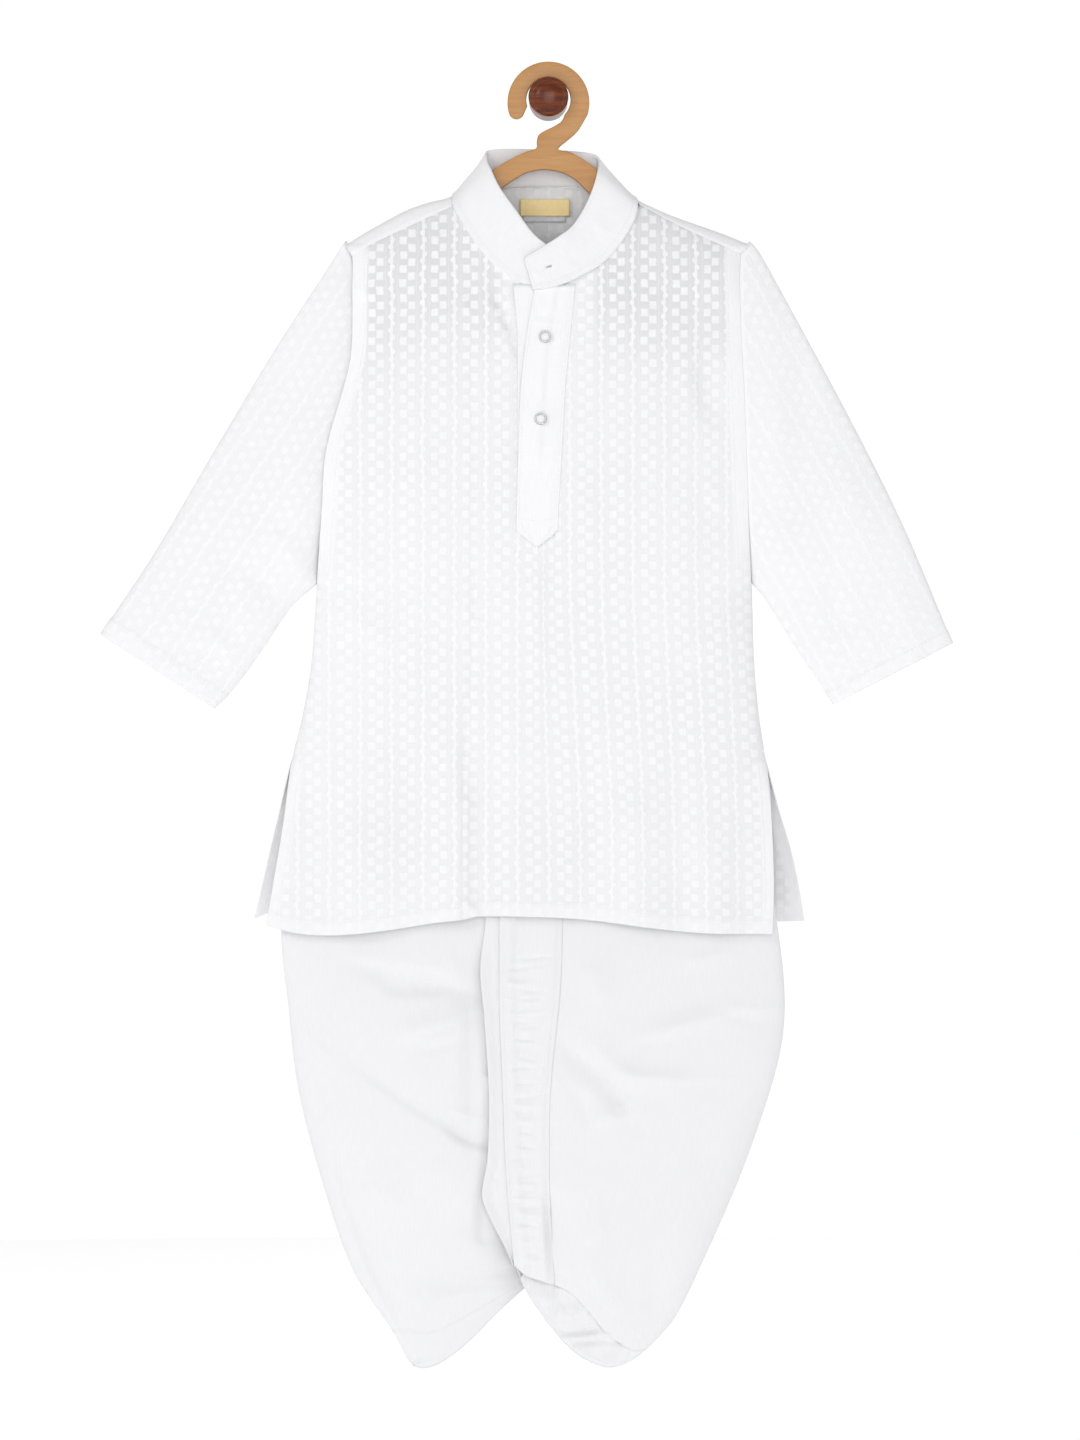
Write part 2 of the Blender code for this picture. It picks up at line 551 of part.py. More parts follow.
def back_surface(u, v):
    """Outside of the back panel, under the yoke."""
    s = lerp(u, 0.5 - 0.5 * math.cos(math.pi * u), 0.8)
    top = along(YOKE, "foot_x", "foot_z", lerp(YOKE[0].foot_x, YOKE[-1].foot_x, s)) - SEAM
    bottom = along(BACK_HEM, "x", "z", lerp(BACK_HEM[0].x, BACK_HEM[-1].x, s))
    z = lerp(top, bottom, v)
    edge_left, edge_right = body_edges(z, True)
    return back_point(lerp(edge_left, edge_right, s), z)


def yoke_surface(u, v):
    """Outside of the yoke, from the front seam at v = 0 over the ridge to the back seam."""

    def column(name):
        """One of the yoke's lines at this column."""
        return along(YOKE, "u", name, u, smooth=False)

    if v < YOKE_RIDGE:
        share = (1.0 - v / YOKE_RIDGE) ** 2
        top_x, seam_x = column("ridge_x"), column("seam_x")
        x = lerp(top_x, seam_x, share)
        z = lerp(ridge(top_x), front_top(seam_x), share)
        return Vector((x, MID_Y - half_depth(x, z, False), z))
    nape_x, nape_z = column("nape_x"), column("nape_z")
    if v < YOKE_NAPE:
        share = ((v - YOKE_RIDGE) / (YOKE_NAPE - YOKE_RIDGE)) ** 2
        top_x = column("ridge_x")
        x = lerp(top_x, nape_x, share)
        z = lerp(ridge(top_x), nape_z, share)
    else:
        share = (v - YOKE_NAPE) / (1.0 - YOKE_NAPE)
        x = lerp(nape_x, column("foot_x"), share)
        z = lerp(nape_z, column("foot_z"), share)
    return Vector((x, MID_Y + half_depth(x, z, True), z))


def on_yoke(u, v):
    """True outside the open neck."""
    return not (YOKE_NECK[0] < u < YOKE_NECK[1] and v < YOKE_NAPE)


def make_body():
    """Front panel, back panel and yoke."""
    front_in = moved_out(front_surface, WALL)
    back_in = moved_out(back_surface, -WALL)

    def front_inside(u, v):
        """Inside of the front, which stays on its own side of the middle plane."""
        point = front_in(u, v)
        point.y = min(point.y, MID_Y - SEAM / 2.0)
        return point

    def back_inside(u, v):
        """Inside of the back, which stays on its own side of the middle plane."""
        point = back_in(u, v)
        point.y = max(point.y, MID_Y + SEAM / 2.0)
        return point

    cloth("kurta_front", 32, 24, front_surface, front_inside)
    cloth("kurta_back", 20, 18, back_surface, back_inside)
    cloth("kurta_yoke", 20, 10, yoke_surface, moved_out(yoke_surface, -WALL), keep=on_yoke)


def sleeve_maker(rows, side):
    """Outside of one sleeve: u runs round it and v from the armhole to the cuff."""
    left_side = side < 0.0

    def surface(u, v):
        """One point of the sleeve."""
        angle = 2.0 * math.pi * u
        c = 0.5 - 0.5 * math.cos(angle)
        front = math.sin(angle) > 0.0
        loop = loop_share(c)
        top = (along(rows, "t", "top_x", v), along(rows, "t", "top_z", v))
        under = (along(rows, "t", "under_x", v), along(rows, "t", "under_z", v))
        x = lerp(top[0], under[0], c)
        z = lerp(top[1], under[1], c)
        seam_z = lerp(rows[0].top_z, rows[0].under_z, c)
        seam_x = body_edges(seam_z, False)[0 if left_side else 1] + side * ARMHOLE_GAP
        near = (1.0 - v) ** 4
        seam_x += side * ARMHOLE_GAP * (1.0 - ease(c / 0.12))
        x += (seam_x - lerp(rows[0].top_x, rows[0].under_x, c)) * near
        half = along(rows, "t", "half", v) * loop
        if left_side and front:
            proud = PROUD_HALF * loop - TUCK_STEP * ease(loop / 0.5)
            half = lerp(half, proud, near)
            x += TUCK_REACH * ease((loop - 0.62) / 0.3) * near
        return Vector((x, MID_Y - half if front else MID_Y + half, z))

    return surface


def make_sleeves():
    """Two set-in sleeves, open at the armhole and the cuff."""
    left = sleeve_maker(SLEEVE_LEFT, -1.0)
    right = sleeve_maker(SLEEVE_RIGHT, 1.0)
    cloth("sleeve_left", 22, 12, left, round_in(left, WALL, -1.0), closed=True)
    cloth("sleeve_right", 22, 12, right, round_in(right, WALL, 1.0), closed=True)


def round_in(surface, wall, flip):
    """Inside of a tube, from the slope of its outside round and along it."""

    def inside(u, v):
        """One point of the inside."""
        step = ROUND_STEP
        across = surface((u + step) % 1.0, v) - surface((u - step) % 1.0, v)
        down = surface(u, min(v + step, 1.0)) - surface(u, max(v - step, 0.0))
        normal = across.cross(down).normalized() * flip
        return surface(u, v) - normal * wall

    return inside


def collar_surface(u, v):
    """Outside of the band collar: v runs from its top edge down to the neck seam."""
    top = Vector([along(COLLAR, "u", "top_" + axis, u) for axis in "xyz"])
    foot = Vector([along(COLLAR, "u", "foot_" + axis, u) for axis in "xyz"])
    return top.lerp(foot, v * COLLAR_SEAM)


def make_collar():
    """Stand-up band whose right end laps over its left one."""
    cloth("collar", 36, 3, collar_surface, moved_out(collar_surface, COLLAR_WALL))


def strip_maker(rows, place, tip=None):
    """Surface of a strip on the cloth, u across it and v down it."""
    top = rows[0].z
    bottom = rows[-1].z

    def surface(u, v):
        """One point of the strip."""
        z = lerp(top, bottom, v)
        x = lerp(along(rows, "z", "left", z), along(rows, "z", "right", z), u)
        if tip:
            blunt = 1.0 - abs(2.0 * u - 1.0)
            z = lerp(z, lerp(bottom, tip[1], blunt), ease((v - 0.9) / 0.1))
        return place(x, z)

    return surface


def placket_place(x, z):
    """Where the upper placket lies: over the under strip on the left, on the front at the right."""
    rim = front_top(min(max(x, NECKLINE[4].x), NECKLINE[7].x)) - 2.0 * SEAM
    z = min(z, rim)
    under = along(PLACKET_UNDER, "z", "right", z)
    still_there = 1.0 - ease((PLACKET_UNDER[-1].z - z - 2.0) / 14.0)
    ramp = 1.0 - ease((x - under - 1.5) / 5.0)
    lift = SEAM + TRIM_WALL + (TRIM_WALL + SEAM) * ramp * still_there
    point = front_point(x, z)
    point.y -= lift
    return point


def under_place(x, z):
    """Where the under strip lies, on the front."""
    rim = front_top(min(max(x, NECKLINE[4].x), NECKLINE[7].x)) - 2.0 * SEAM
    point = front_point(x, min(z, rim))
    point.y -= SEAM + TRIM_WALL
    return point


def straight_in(surface, wall):
    """The same surface moved back towards the wall."""

    def inside(u, v):
        """One point of the moved surface."""
        point = surface(u, v)
        point.y += wall
        return point

    return inside


def make_placket():
    """Two placket strips and the two ring snaps on the upper one."""
    upper = strip_maker(PLACKET_UPPER, placket_place, PLACKET_TIP)
    under = strip_maker(PLACKET_UNDER, under_place)
    cloth("placket_upper", 6, 16, upper, straight_in(upper, TRIM_WALL))
    cloth("placket_under", 4, 8, under, straight_in(under, TRIM_WALL))
    for number, snap in enumerate(SNAPS, start=1):
        seat = placket_place(snap.x, snap.z)
        seat.y -= SEAM
        ring = (
            (0.0, SNAP_HOLE_R), (0.0, SNAP_RING_R), (SNAP_HEIGHT * 0.6, SNAP_RING_R),
            (SNAP_HEIGHT, SNAP_RING_R - 0.5), (SNAP_HEIGHT, SNAP_HOLE_R + 0.2),
            (SNAP_HEIGHT * 0.7, SNAP_HOLE_R), (0.0, SNAP_HOLE_R),
        )
        turned(f"snap_ring_{number}", ring, seat, 20, METAL_GREY, 0.35, 0.9)
        cap = (
            (0.0, 0.0), (0.0, SNAP_CAP_R), (SNAP_HEIGHT * 0.5, SNAP_CAP_R),
            (SNAP_HEIGHT * 0.75, SNAP_CAP_R * 0.6), (SNAP_HEIGHT * 0.8, 0.0),
        )
        turned(f"snap_cap_{number}", cap, seat, 16, WHITE_COTTON, 0.4)


def make_labels():
    """Gold and white labels sewn inside the back yoke, both blank."""

    def label(left, right, top, bottom, gap):
        """Surface of a label on the inside of the back."""

        def surface(u, v):
            """One point of the label."""
            x = lerp(left, right, u)
            z = lerp(top, bottom, v)
            return Vector((x, MID_Y + half_depth(x, z, True) - WALL - gap, z))

        return surface

    size = label(*SIZE_LABEL, LABEL_GAP)
    neck = label(*NECK_LABEL, LABEL_GAP + TRIM_WALL + SEAM)
    cloth("size_label", 4, 3, size, straight_in(size, -TRIM_WALL))
    cloth("neck_label", 4, 3, neck, straight_in(neck, -TRIM_WALL), colour=SATIN_GOLD)


def leg_maker(rows, hem, side):
    """Outside of one leg: u runs from the centre front round the outer side to the centre back."""

    def surface(u, v, closing=True):
        """One point of the leg, its inseam closed towards the hem where closing is true."""
        phi = (2.0 * u - 1.0) * math.pi / 2.0
        back = phi > 0.0
        c = 1.0 - math.cos(phi)
        outer = (along(rows, "v", "outer_x", v), along(rows, "v", "outer_z", v))
        inner = (along(rows, "v", "inner_x", v), along(rows, "v", "inner_z", v))
        kind = "back" if back else "front"
        drop = v ** 14
        x = lerp(outer[0], inner[0] + side * SEAM / 2.0, c)
        z = lerp(outer[1], inner[1], c)
        x += drop * (along(hem, "c", kind + "_x", c) - lerp(rows[-1].outer_x, rows[-1].inner_x, c))
        z += drop * (along(hem, "c", kind + "_z", c) - lerp(rows[-1].outer_z, rows[-1].inner_z, c))
        half = along(rows, "v", "half", v) * abs(math.sin(phi)) ** LEG_POWER
        if closing:
            shut = ease((v - CLOSE_FROM) / (CLOSE_TO - CLOSE_FROM))
            half *= 1.0 - shut * c ** 8
        if not back:
            half += fold_height(LEG_FOLDS, x, z) * abs(math.sin(phi))
        half += SEAM / 2.0
        mid = MID_Y + along(rows, "v", "shift", v)
        return Vector((x, mid + half if back else mid - half, z))

    return surface


def centre_place(x, v):
    """Point on the front of the dhoti beside its centre line, v down the leg."""
    right = leg_maker(LEG_RIGHT, HEM_RIGHT, 1.0)
    outer = along(LEG_RIGHT, "v", "outer_x", v)
    inner = along(LEG_RIGHT, "v", "inner_x", v)
    c = (x - outer) / (inner - outer)
    if c >= 1.0:
        point = right(0.0, v, False)
    else:
        point = right(0.5 - math.acos(1.0 - c) / math.pi, v, False)
    point.x = x
    return point


def centre_share(z):
    """Share down the leg at which its centre line is at height z."""
    return along(LEG_RIGHT, "inner_z", "v", z)


def make_dhoti():
    """Two legs, the waistband, the front border band and the pleat flap beside it."""
    left = leg_maker(LEG_LEFT, HEM_LEFT, -1.0)
    right = leg_maker(LEG_RIGHT, HEM_RIGHT, 1.0)

    def inside(surface, flip):
        """Inside of a leg, whose closed inseam stays on its own side of the middle."""
        moved = moved_out(surface, WALL * flip)

        def inner(u, v):
            """One point of the inside."""
            point = moved(u, v)
            mid = (surface(0.0, v).y + surface(1.0, v).y) / 2.0
            if u < 0.5:
                point.y = min(point.y, mid - SEAM / 2.0)
            elif u > 0.5:
                point.y = max(point.y, mid + SEAM / 2.0)
            return point

        return inner

    cloth("dhoti_leg_left", 20, 20, left, inside(left, -1.0))
    cloth("dhoti_leg_right", 20, 20, right, inside(right, 1.0))

    def waist(u, v):
        """Outside of the elastic waistband."""
        angle = 2.0 * math.pi * u
        across = math.copysign(abs(math.cos(angle)) ** 0.9, math.cos(angle))
        out = math.copysign(abs(math.sin(angle)) ** LEG_POWER, math.sin(angle))
        x = CENTRE_X + 1.0 + WAIST_HALF * across
        z = WAIST_TOP_Z - WAIST_HEIGHT * v
        return Vector((x, MID_Y - WAIST_HALF_DEPTH * out, z))

    cloth("dhoti_waistband", 36, 2, waist, round_in(waist, BAND_WALL, 1.0), closed=True)

    def band_place(x, z):
        """Where the front band lies, over the flap at its left edge."""
        left_edge = along(FRONT_BAND, "z", "left", z)
        over = 1.0 - ease((x - left_edge - 7.0) / 6.0)
        point = centre_place(x, centre_share(z))
        point.y -= SEAM + TRIM_WALL + (TRIM_WALL + SEAM) * over
        return point

    def flap_place(x, z):
        """Where the pleat flap lies, its free edge standing off the leg."""
        left_edge = along(PLEAT_FLAP, "z", "left", z)
        shown = along(FRONT_BAND, "z", "left", z) - left_edge
        curl = 1.0 - ease((x - left_edge) / min(8.0, 0.8 * shown))
        fade = ease((-574.0 - z) / 60.0)
        point = centre_place(x, centre_share(z))
        point.y -= SEAM + TRIM_WALL + FLAP_LIFT * curl * fade
        return point

    band = strip_maker(FRONT_BAND, band_place)
    flap = strip_maker(PLEAT_FLAP, flap_place)
    cloth("dhoti_front_band", 6, 18, band, straight_in(band, TRIM_WALL))
    cloth("dhoti_pleat_flap", 3, 18, flap, straight_in(flap, TRIM_WALL))

    def hem(u, v):
        """Outside of the right leg's border, which starts behind the leg's lower edge."""
        c = lerp(BORDER_FROM, BORDER_TO, u)
        phi = math.acos(1.0 - c)
        start = right(0.5 - phi / math.pi, 1.0)
        tuck = right(0.5 - phi / math.pi, BORDER_TUCK)
        end_x = along(HEM_RIGHT, "c", "back_x", c)
        end_z = along(HEM_RIGHT, "c", "back_z", c)
        x = lerp(tuck.x, end_x, v)
        z = lerp(tuck.z, end_z, v)
        y = lerp(tuck.y, start.y, min(v * 3.0, 1.0)) + (WALL + 2.0 * SEAM) * (1.0 + c ** 4)
        return Vector((x, y, z))

    cloth("dhoti_hem_right", 12, 4, hem, straight_in(hem, TRIM_WALL))


def arc(centre_x, centre_z, radius, start, end, steps):
    """Points of an arc, its angles in degrees from +X towards +Z."""
    points = []
    for i in range(steps + 1):
        angle = math.radians(lerp(start, end, i / steps))
        x = centre_x + radius * math.cos(angle)
        z = centre_z + radius * math.sin(angle)
        points.append((x, z))
    return points


def arm_edges(side):
    """Upper and lower edge of one arm where the shoulder lies on it."""
    upper = []
    lower = []
    for station in ARM_STATIONS:
        x = side * station
        top = ridge(x) - HANGER_DROP
        upper.append((x, top))
        lower.append((x, top - ARM_DEPTH))
    return upper, lower


def make_hanger():
    """Flat wooden hanger: hook, stem and two arms cut from one board, edges rounded."""
    left_top, left_low = arm_edges(-1.0)
    right_top, right_low = arm_edges(1.0)
    tip_x, tip_z, tip_r = HOOK_TIP
    outline = []
    outline += arc(0.0, HOOK_OUTER_Z, HOOK_OUTER_R, 190.0, -16.0, 26)
    outline += STEM_RIGHT
    outline += ARM_RIGHT_TOP
    outline += right_top
    end_top = right_top[-1][1]
    outline += [(ARM_TIP_X, end_top - 4.5), (ARM_TIP_X - 0.6, end_top - 9.0)]
    outline += reversed(right_low)
    outline += CROTCH
    outline += left_low
    end_top = left_top[-1][1]
    outline += [(-ARM_TIP_X + 0.6, end_top - 9.0), (-ARM_TIP_X, end_top - 4.5)]
    outline += reversed(left_top)
    outline += reversed(ARM_LEFT_TOP)
    outline += STEM_LEFT
    outline += arc(0.0, HOOK_INNER_Z, HOOK_INNER_R, -42.0, 196.0, 22)
    outline += arc(tip_x, tip_z, tip_r, 332.0, 208.0, 6)
    board = bmesh.new()
    front = MID_Y - HANGER_THICK / 2.0
    corners = [board.verts.new((x, front, z)) for x, z in outline]
    face = board.faces.new(corners)
    grown = bmesh.ops.extrude_face_region(board, geom=[face], use_keep_orig=True)
    moved = [item for item in grown["geom"] if isinstance(item, bmesh.types.BMVert)]
    bmesh.ops.translate(board, vec=(0.0, HANGER_THICK, 0.0), verts=moved)
    rims = [edge for edge in board.edges if edge.verts[0].co.y == edge.verts[1].co.y]
    bmesh.ops.bevel(
        board, geom=rims, offset=HANGER_ROUND, offset_type="OFFSET", segments=2,
        profile=0.5, affect="EDGES", material=-1, clamp_overlap=True,
    )
    bmesh.ops.triangulate(board, faces=board.faces[:])
    bmesh.ops.recalc_face_normals(board, faces=board.faces[:])
    finish_object("hanger", board, WOOD_TAN, 0.45)


def make_knob():
    """Turned wall knob: plain stem, slightly wider head and a grooved, domed front."""
    profile = (
        (0.0, 0.0), (0.0, KNOB_STEM_R), (39.0, KNOB_STEM_R), (39.6, KNOB_HEAD_R),
        (43.0, KNOB_HEAD_R), (45.4, KNOB_HEAD_R - 0.8), (46.8, KNOB_GROOVE_R + 1.2),
        (47.1, KNOB_GROOVE_R + 0.5), (46.5, KNOB_GROOVE_R), (47.3, KNOB_GROOVE_R - 0.6),
        (48.6, 8.0), (49.6, 4.6), (50.0, 0.0),
    )
    turned("wall_knob", profile, (0.0, 0.0, 0.0), KNOB_SIDES, WOOD_DARK, 0.2)


def build():
    """Makes every sub-part."""
    clear_scene()
    make_knob()
    make_hanger()
    make_body()
    make_sleeves()
    make_collar()
    make_placket()
    make_labels()
    make_dhoti()


build()
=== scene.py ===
"""Looks of a child's white kurta and stitched dhoti on a wooden hanger.

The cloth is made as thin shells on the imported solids' own forms, with the finer creases, hems,
puckers and stitches added. Sizes are in millimetres and are turned into metres where a mesh is
made. X runs to the viewer's right, Z runs up and the wall is the plane Y = 0. Left and right are
the viewer's.
"""
import math
import random
from collections import namedtuple

import bmesh
import bpy
import numpy as np
from bpy.props import FloatProperty, FloatVectorProperty, PointerProperty
from mathutils import Matrix, Vector, noise
from mathutils.bvhtree import BVHTree


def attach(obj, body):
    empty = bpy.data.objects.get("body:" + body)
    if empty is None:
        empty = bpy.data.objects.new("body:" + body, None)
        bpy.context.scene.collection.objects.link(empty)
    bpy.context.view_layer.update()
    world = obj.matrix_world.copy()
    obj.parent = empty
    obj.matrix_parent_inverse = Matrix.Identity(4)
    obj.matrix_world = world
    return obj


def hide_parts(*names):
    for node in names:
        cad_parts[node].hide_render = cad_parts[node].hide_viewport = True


bl_info = {
    "name": "Kurta and dhoti on a hanger",
    "version": (1, 0, 0),
    "blender": (4, 5, 0),
    "location": "View3D > Sidebar > Garment",
    "description": "Builds the cloth, wood, metal and stitching of a hung kurta and dhoti",
    "category": "Object",
}

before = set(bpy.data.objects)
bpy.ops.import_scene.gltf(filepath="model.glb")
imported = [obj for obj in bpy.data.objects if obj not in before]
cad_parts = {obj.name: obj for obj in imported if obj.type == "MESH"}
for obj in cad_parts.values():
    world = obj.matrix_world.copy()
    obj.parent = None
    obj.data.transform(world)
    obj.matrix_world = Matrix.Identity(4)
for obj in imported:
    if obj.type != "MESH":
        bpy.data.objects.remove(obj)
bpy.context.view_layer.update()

MM = 0.001
WHITE = (1, 1, 1, 1)

# Driving sizes
WALL = 1.2            # cloth, seam allowances and air between its layers included
TRIM_WALL = 1         # plackets, labels and applied bands
SEAM = 0.3            # air left between two pieces that are sewn together
MID_Y = -34           # plane in which the hanger and the side seams lie
ARCH = 6              # radius of the cloth where it turns over the shoulder
TINY = 1.0e-4         # step used to find a surface's slope

# Turned wall knob
KNOB_STEM_R = 13.6
KNOB_HEAD_R = 14
KNOB_GROOVE_R = 10.7

# Wooden hanger
HANGER_THICK = 8
HANGER_ROUND = 2.5
HANGER_DROP = WALL + 1.3   # wood's top edge under the outside of the shoulder ridge
HOOK_OUTER_R = 28.7
HOOK_OUTER_Z = -3.8
HOOK_INNER_R = 15.5
HOOK_INNER_Z = -1.6
HOOK_TIP = (-22.4, -9.6, 5.5)    # centre x, centre z and radius of the hook's rounded tip
ARM_DEPTH = 15

# Kurta
SHOULDER_TIP_Z = -103.7
ARMPIT_Z = -341.7
SLIT_Z = -461
ARMHOLE_HALF = 10          # half depth of the armhole at its middle
PROUD_HALF = 12.5          # same on the left front, whose edge laps over the sleeve
TUCK_STEP = 2.8            # how far behind that edge the sleeve starts
TUCK_REACH = 7             # how far under that edge the sleeve goes
ARMHOLE_GAP = 0.9          # air between the sleeve and the body at the armhole seam
ROUND_SIDE = 2.6           # superellipse power of the folded side below the armhole

# Dhoti
CENTRE_X = -12
WAIST_TOP_Z = -391
WAIST_HEIGHT = 25
WAIST_HALF = 115
WAIST_HALF_DEPTH = 17.4
LEG_POWER = 0.8
CLOSE_FROM = 0.80          # share of the leg where the inseam starts to close
CLOSE_TO = 0.92
BORDER_FROM = 0.04         # shares round the right hem between which its border shows
BORDER_TO = 0.95
BORDER_TUCK = 0.975        # share of the leg at which that border starts, behind the hem
FLAP_LIFT = 1.6            # how far the pleat flap's free edge stands off the leg

Edge = namedtuple("Edge", "z x")
Line = namedtuple("Line", "x z")
Depth = namedtuple("Depth", "z half")
Fold = namedtuple("Fold", "x0 z0 x1 z1 left right height end", defaults=(0,))
YokeRow = namedtuple("YokeRow", "u seam_x ridge_x nape_x nape_z foot_x foot_z")
CollarRow = namedtuple("CollarRow", "u foot_x foot_y foot_z top_x top_y top_z")
SleeveRow = namedtuple("SleeveRow", "t top_x top_z under_x under_z half")
LegRow = namedtuple("LegRow", "v outer_x outer_z inner_x inner_z half shift", defaults=(0,))
HemRow = namedtuple("HemRow", "c back_x back_z front_x front_z")
Strip = namedtuple("Strip", "z left right")


def table(kind, *rows):
    """Rows of numbers as records of one kind."""
    return tuple(kind(*row) for row in rows)


# Shoulder ridge, with the line that the cloth would follow across the open neck
SHOULDER = table(
    Line, (-142.8, -103.7), (-121, -90.6), (-100.7, -79.7), (-84, -73.6), (-67.5, -68.9), (-40, -50),
    (0, -40), (35, -50), (61.1, -70.6), (75, -77.6), (88.2, -83.4), (105, -89.6), (122.4, -95.7),
    (142.5, -103.7),
)
# Side edges shared by front, back and sleeves
BODY_LEFT = table(
    Edge, (-103.7, -142.8), (-111.6, -137.5), (-135, -137.1), (-181, -138.2), (-209, -144.8),
    (-233, -152), (-255, -156.6), (-290, -158.6), (-330, -161.3), (-351, -162.8), (-399, -166.6),
    (-436, -173), (-461, -179), (-508, -185.4), (-563, -194.5), (-586, -198.9),
)
BODY_RIGHT = table(
    Edge, (-103.7, 142.5), (-110.2, 134.8), (-157, 134.5), (-203, 136.8), (-290, 140), (-341, 142.4),
    (-400, 144.4), (-436, 147.7), (-461, 151.4), (-492, 155.1), (-553, 157.6), (-586, 156.6),
)
BACK_FLARE_LEFT = table(Edge, (-461, 0), (-515, -6), (-576, -9.6))
BACK_FLARE_RIGHT = table(Edge, (-461, 0), (-491, 4.2), (-527, 13), (-580, 23.4))
BODY_DEPTH = table(
    Depth, (-60, 19.5), (-200, 20), (-341, 19.5), (-420, 19.2), (-500, 19.4), (-586, 21.5),
)
SLIT_DEPTH = table(Depth, (-461, 0), (-490, 6), (-530, 10), (-586, 12))

NECKLINE = table(
    Line, (-67.1, -76.6), (-64.5, -82), (-58.2, -91), (-43.5, -111.8), (-24.8, -127.5), (-10.1, -135.2),
    (4, -133.4), (22.3, -125.5), (41, -113.2), (56.7, -92.1), (62, -80.5), (64.1, -75.6),
)
YOKE_SEAM_LEFT = table(Line, (-137.5, -111.6), (-126.8, -104.8), (-67.1, -76.6))
YOKE_SEAM_RIGHT = table(Line, (64.1, -75.6), (88, -88.4), (125.4, -105.8), (134.8, -110.2))
FRONT_HEM = table(
    Line, (-198.9, -580), (-178.4, -585.2), (-155.9, -587), (-119.4, -584.3), (-82, -578.4),
    (-59.4, -575.7), (-49.1, -573.5), (11.2, -574.9), (36.1, -577.2), (72, -581.8), (108, -585.4),
    (156.6, -586.2),
)
BACK_HEM = table(
    Line, (-208.5, -575.7), (-196.1, -571.4), (-120, -572), (0, -570), (110, -572), (162.4, -578),
    (180, -577.4),
)
FRONT_FOLDS = table(
    Fold, (-57, -440, -59.4, -592, 15, 6, 4.5, 1), (106, -170, 120, -240, 10, 10, -1.8),
    (-40, -132, -20, -172, 5, 5, -1.2), (58, -470, 66, -592, 18, 18, 2.6, 1),
    (-128, -490, -134, -592, 16, 16, 2.4, 1), (112, -500, 118, -592, 14, 14, 1.6, 1),
)
BACK_FOLDS = table(
    Fold, (-70, -300, -92, -592, 20, 20, 3, 1), (10, -360, 6, -592, 18, 18, 2.4, 1),
    (88, -280, 108, -592, 22, 22, 3, 1),
)

# Yoke from the front seam over the shoulder ridge to the back seam
YOKE = table(
    YokeRow, (0, -137.5, -142.8, -137.5, -111.6, -137.1, -136),
    (0.1, -115, -117.6, -116, -96.4, -112, -134), (0.2, -91, -92, -88, -82.4, -85, -133),
    (0.3, -67.1, -67.5, -58, -66.2, -56, -132), (0.4, -33, -33, -31, -62.2, -29, -131),
    (0.5, 0, 0, 0, -61.4, 0, -130), (0.6, 30, 30, 28, -63, 27, -131),
    (0.7, 64.1, 61.1, 53, -67.4, 52, -132), (0.8, 87, 88.2, 84, -87, 80, -133),
    (0.9, 111, 115, 113, -99.6, 108, -134), (1, 134.8, 142.5, 134.8, -110.2, 134.5, -136),
)
YOKE_NECK = (0.3, 0.7)    # columns between which the neck is open
YOKE_RIDGE = 0.3          # share from the front seam at which the yoke passes the ridge
YOKE_NAPE = 0.6           # share at which it passes the line of the nape

# Band collar, from the upper end round the right side and the nape to the under end
COLLAR = table(
    CollarRow, (0, -11.2, -56.8, -134.8, -17, -54.9, -113.8),
    (0.05, 3.5, -56.6, -132.6, -8, -54.4, -108.2), (0.11, 22.6, -55.4, -125, 5.6, -52.6, -99.6),
    (0.18, 41.2, -53, -112.6, 17.4, -50, -90.2), (0.25, 56.8, -49.6, -91.4, 27.6, -46.6, -73),
    (0.31, 61.8, -44.2, -75.8, 34.2, -42.2, -54.6), (0.36, 60, -33.6, -69.2, 35.8, -32.6, -44.6),
    (0.42, 51.4, -25.6, -65.6, 31.2, -25.4, -38.8), (0.48, 28, -21.4, -61.6, 16, -22.6, -36.8),
    (0.54, 0, -20, -60, -5, -21.8, -35.6), (0.6, -31, -21.2, -60.8, -27, -22.8, -35.2),
    (0.66, -56.4, -26.2, -64.8, -42.4, -26, -36.6), (0.71, -66.4, -33.8, -67.4, -43.6, -33.4, -42),
    (0.76, -66, -44, -76, -40, -42.2, -51.6), (0.82, -57.8, -49.4, -90.8, -33.9, -46.4, -64),
    (0.89, -43.4, -52.4, -111.4, -22.2, -48.8, -80.6), (0.95, -24.7, -53.4, -127.2, -10, -50.6, -97),
    (1, -7.6, -53.8, -134.4, 3, -51.6, -107.4),
)
COLLAR_SEAM = 0.97    # share of the band's height that is built above the neck seam

PLACKET_UPPER = table(
    Strip, (-135, -9.6, 18.6), (-166.6, -15.1, 15.6), (-201.5, -19.1, 12.2), (-248.3, -21.1, 9.7),
    (-296.5, -22.4, 6.8), (-304.6, -22.5, 6.2),
)
PLACKET_TIP = (-9.7, -315.9)
PLACKET_UNDER = table(
    Strip, (-135, -24.4, 2), (-166, -21.8, -3), (-201.5, -21.6, -7), (-248, -21.4, -9),
)
SNAPS = table(Line, (-2.4, -168.9), (-5.5, -226.2))
SNAP_RING_R = 4.2
SNAP_HEIGHT = 1.2

Label = namedtuple("Label", "left right top bottom")
SIZE_LABEL = Label(-17.9, 12, -71, -86.2)
NECK_LABEL = Label(-19.9, 15, -70.6, -82.3)
LABEL_GAP = 0.4       # air between the yoke's inside and the label sewn on it

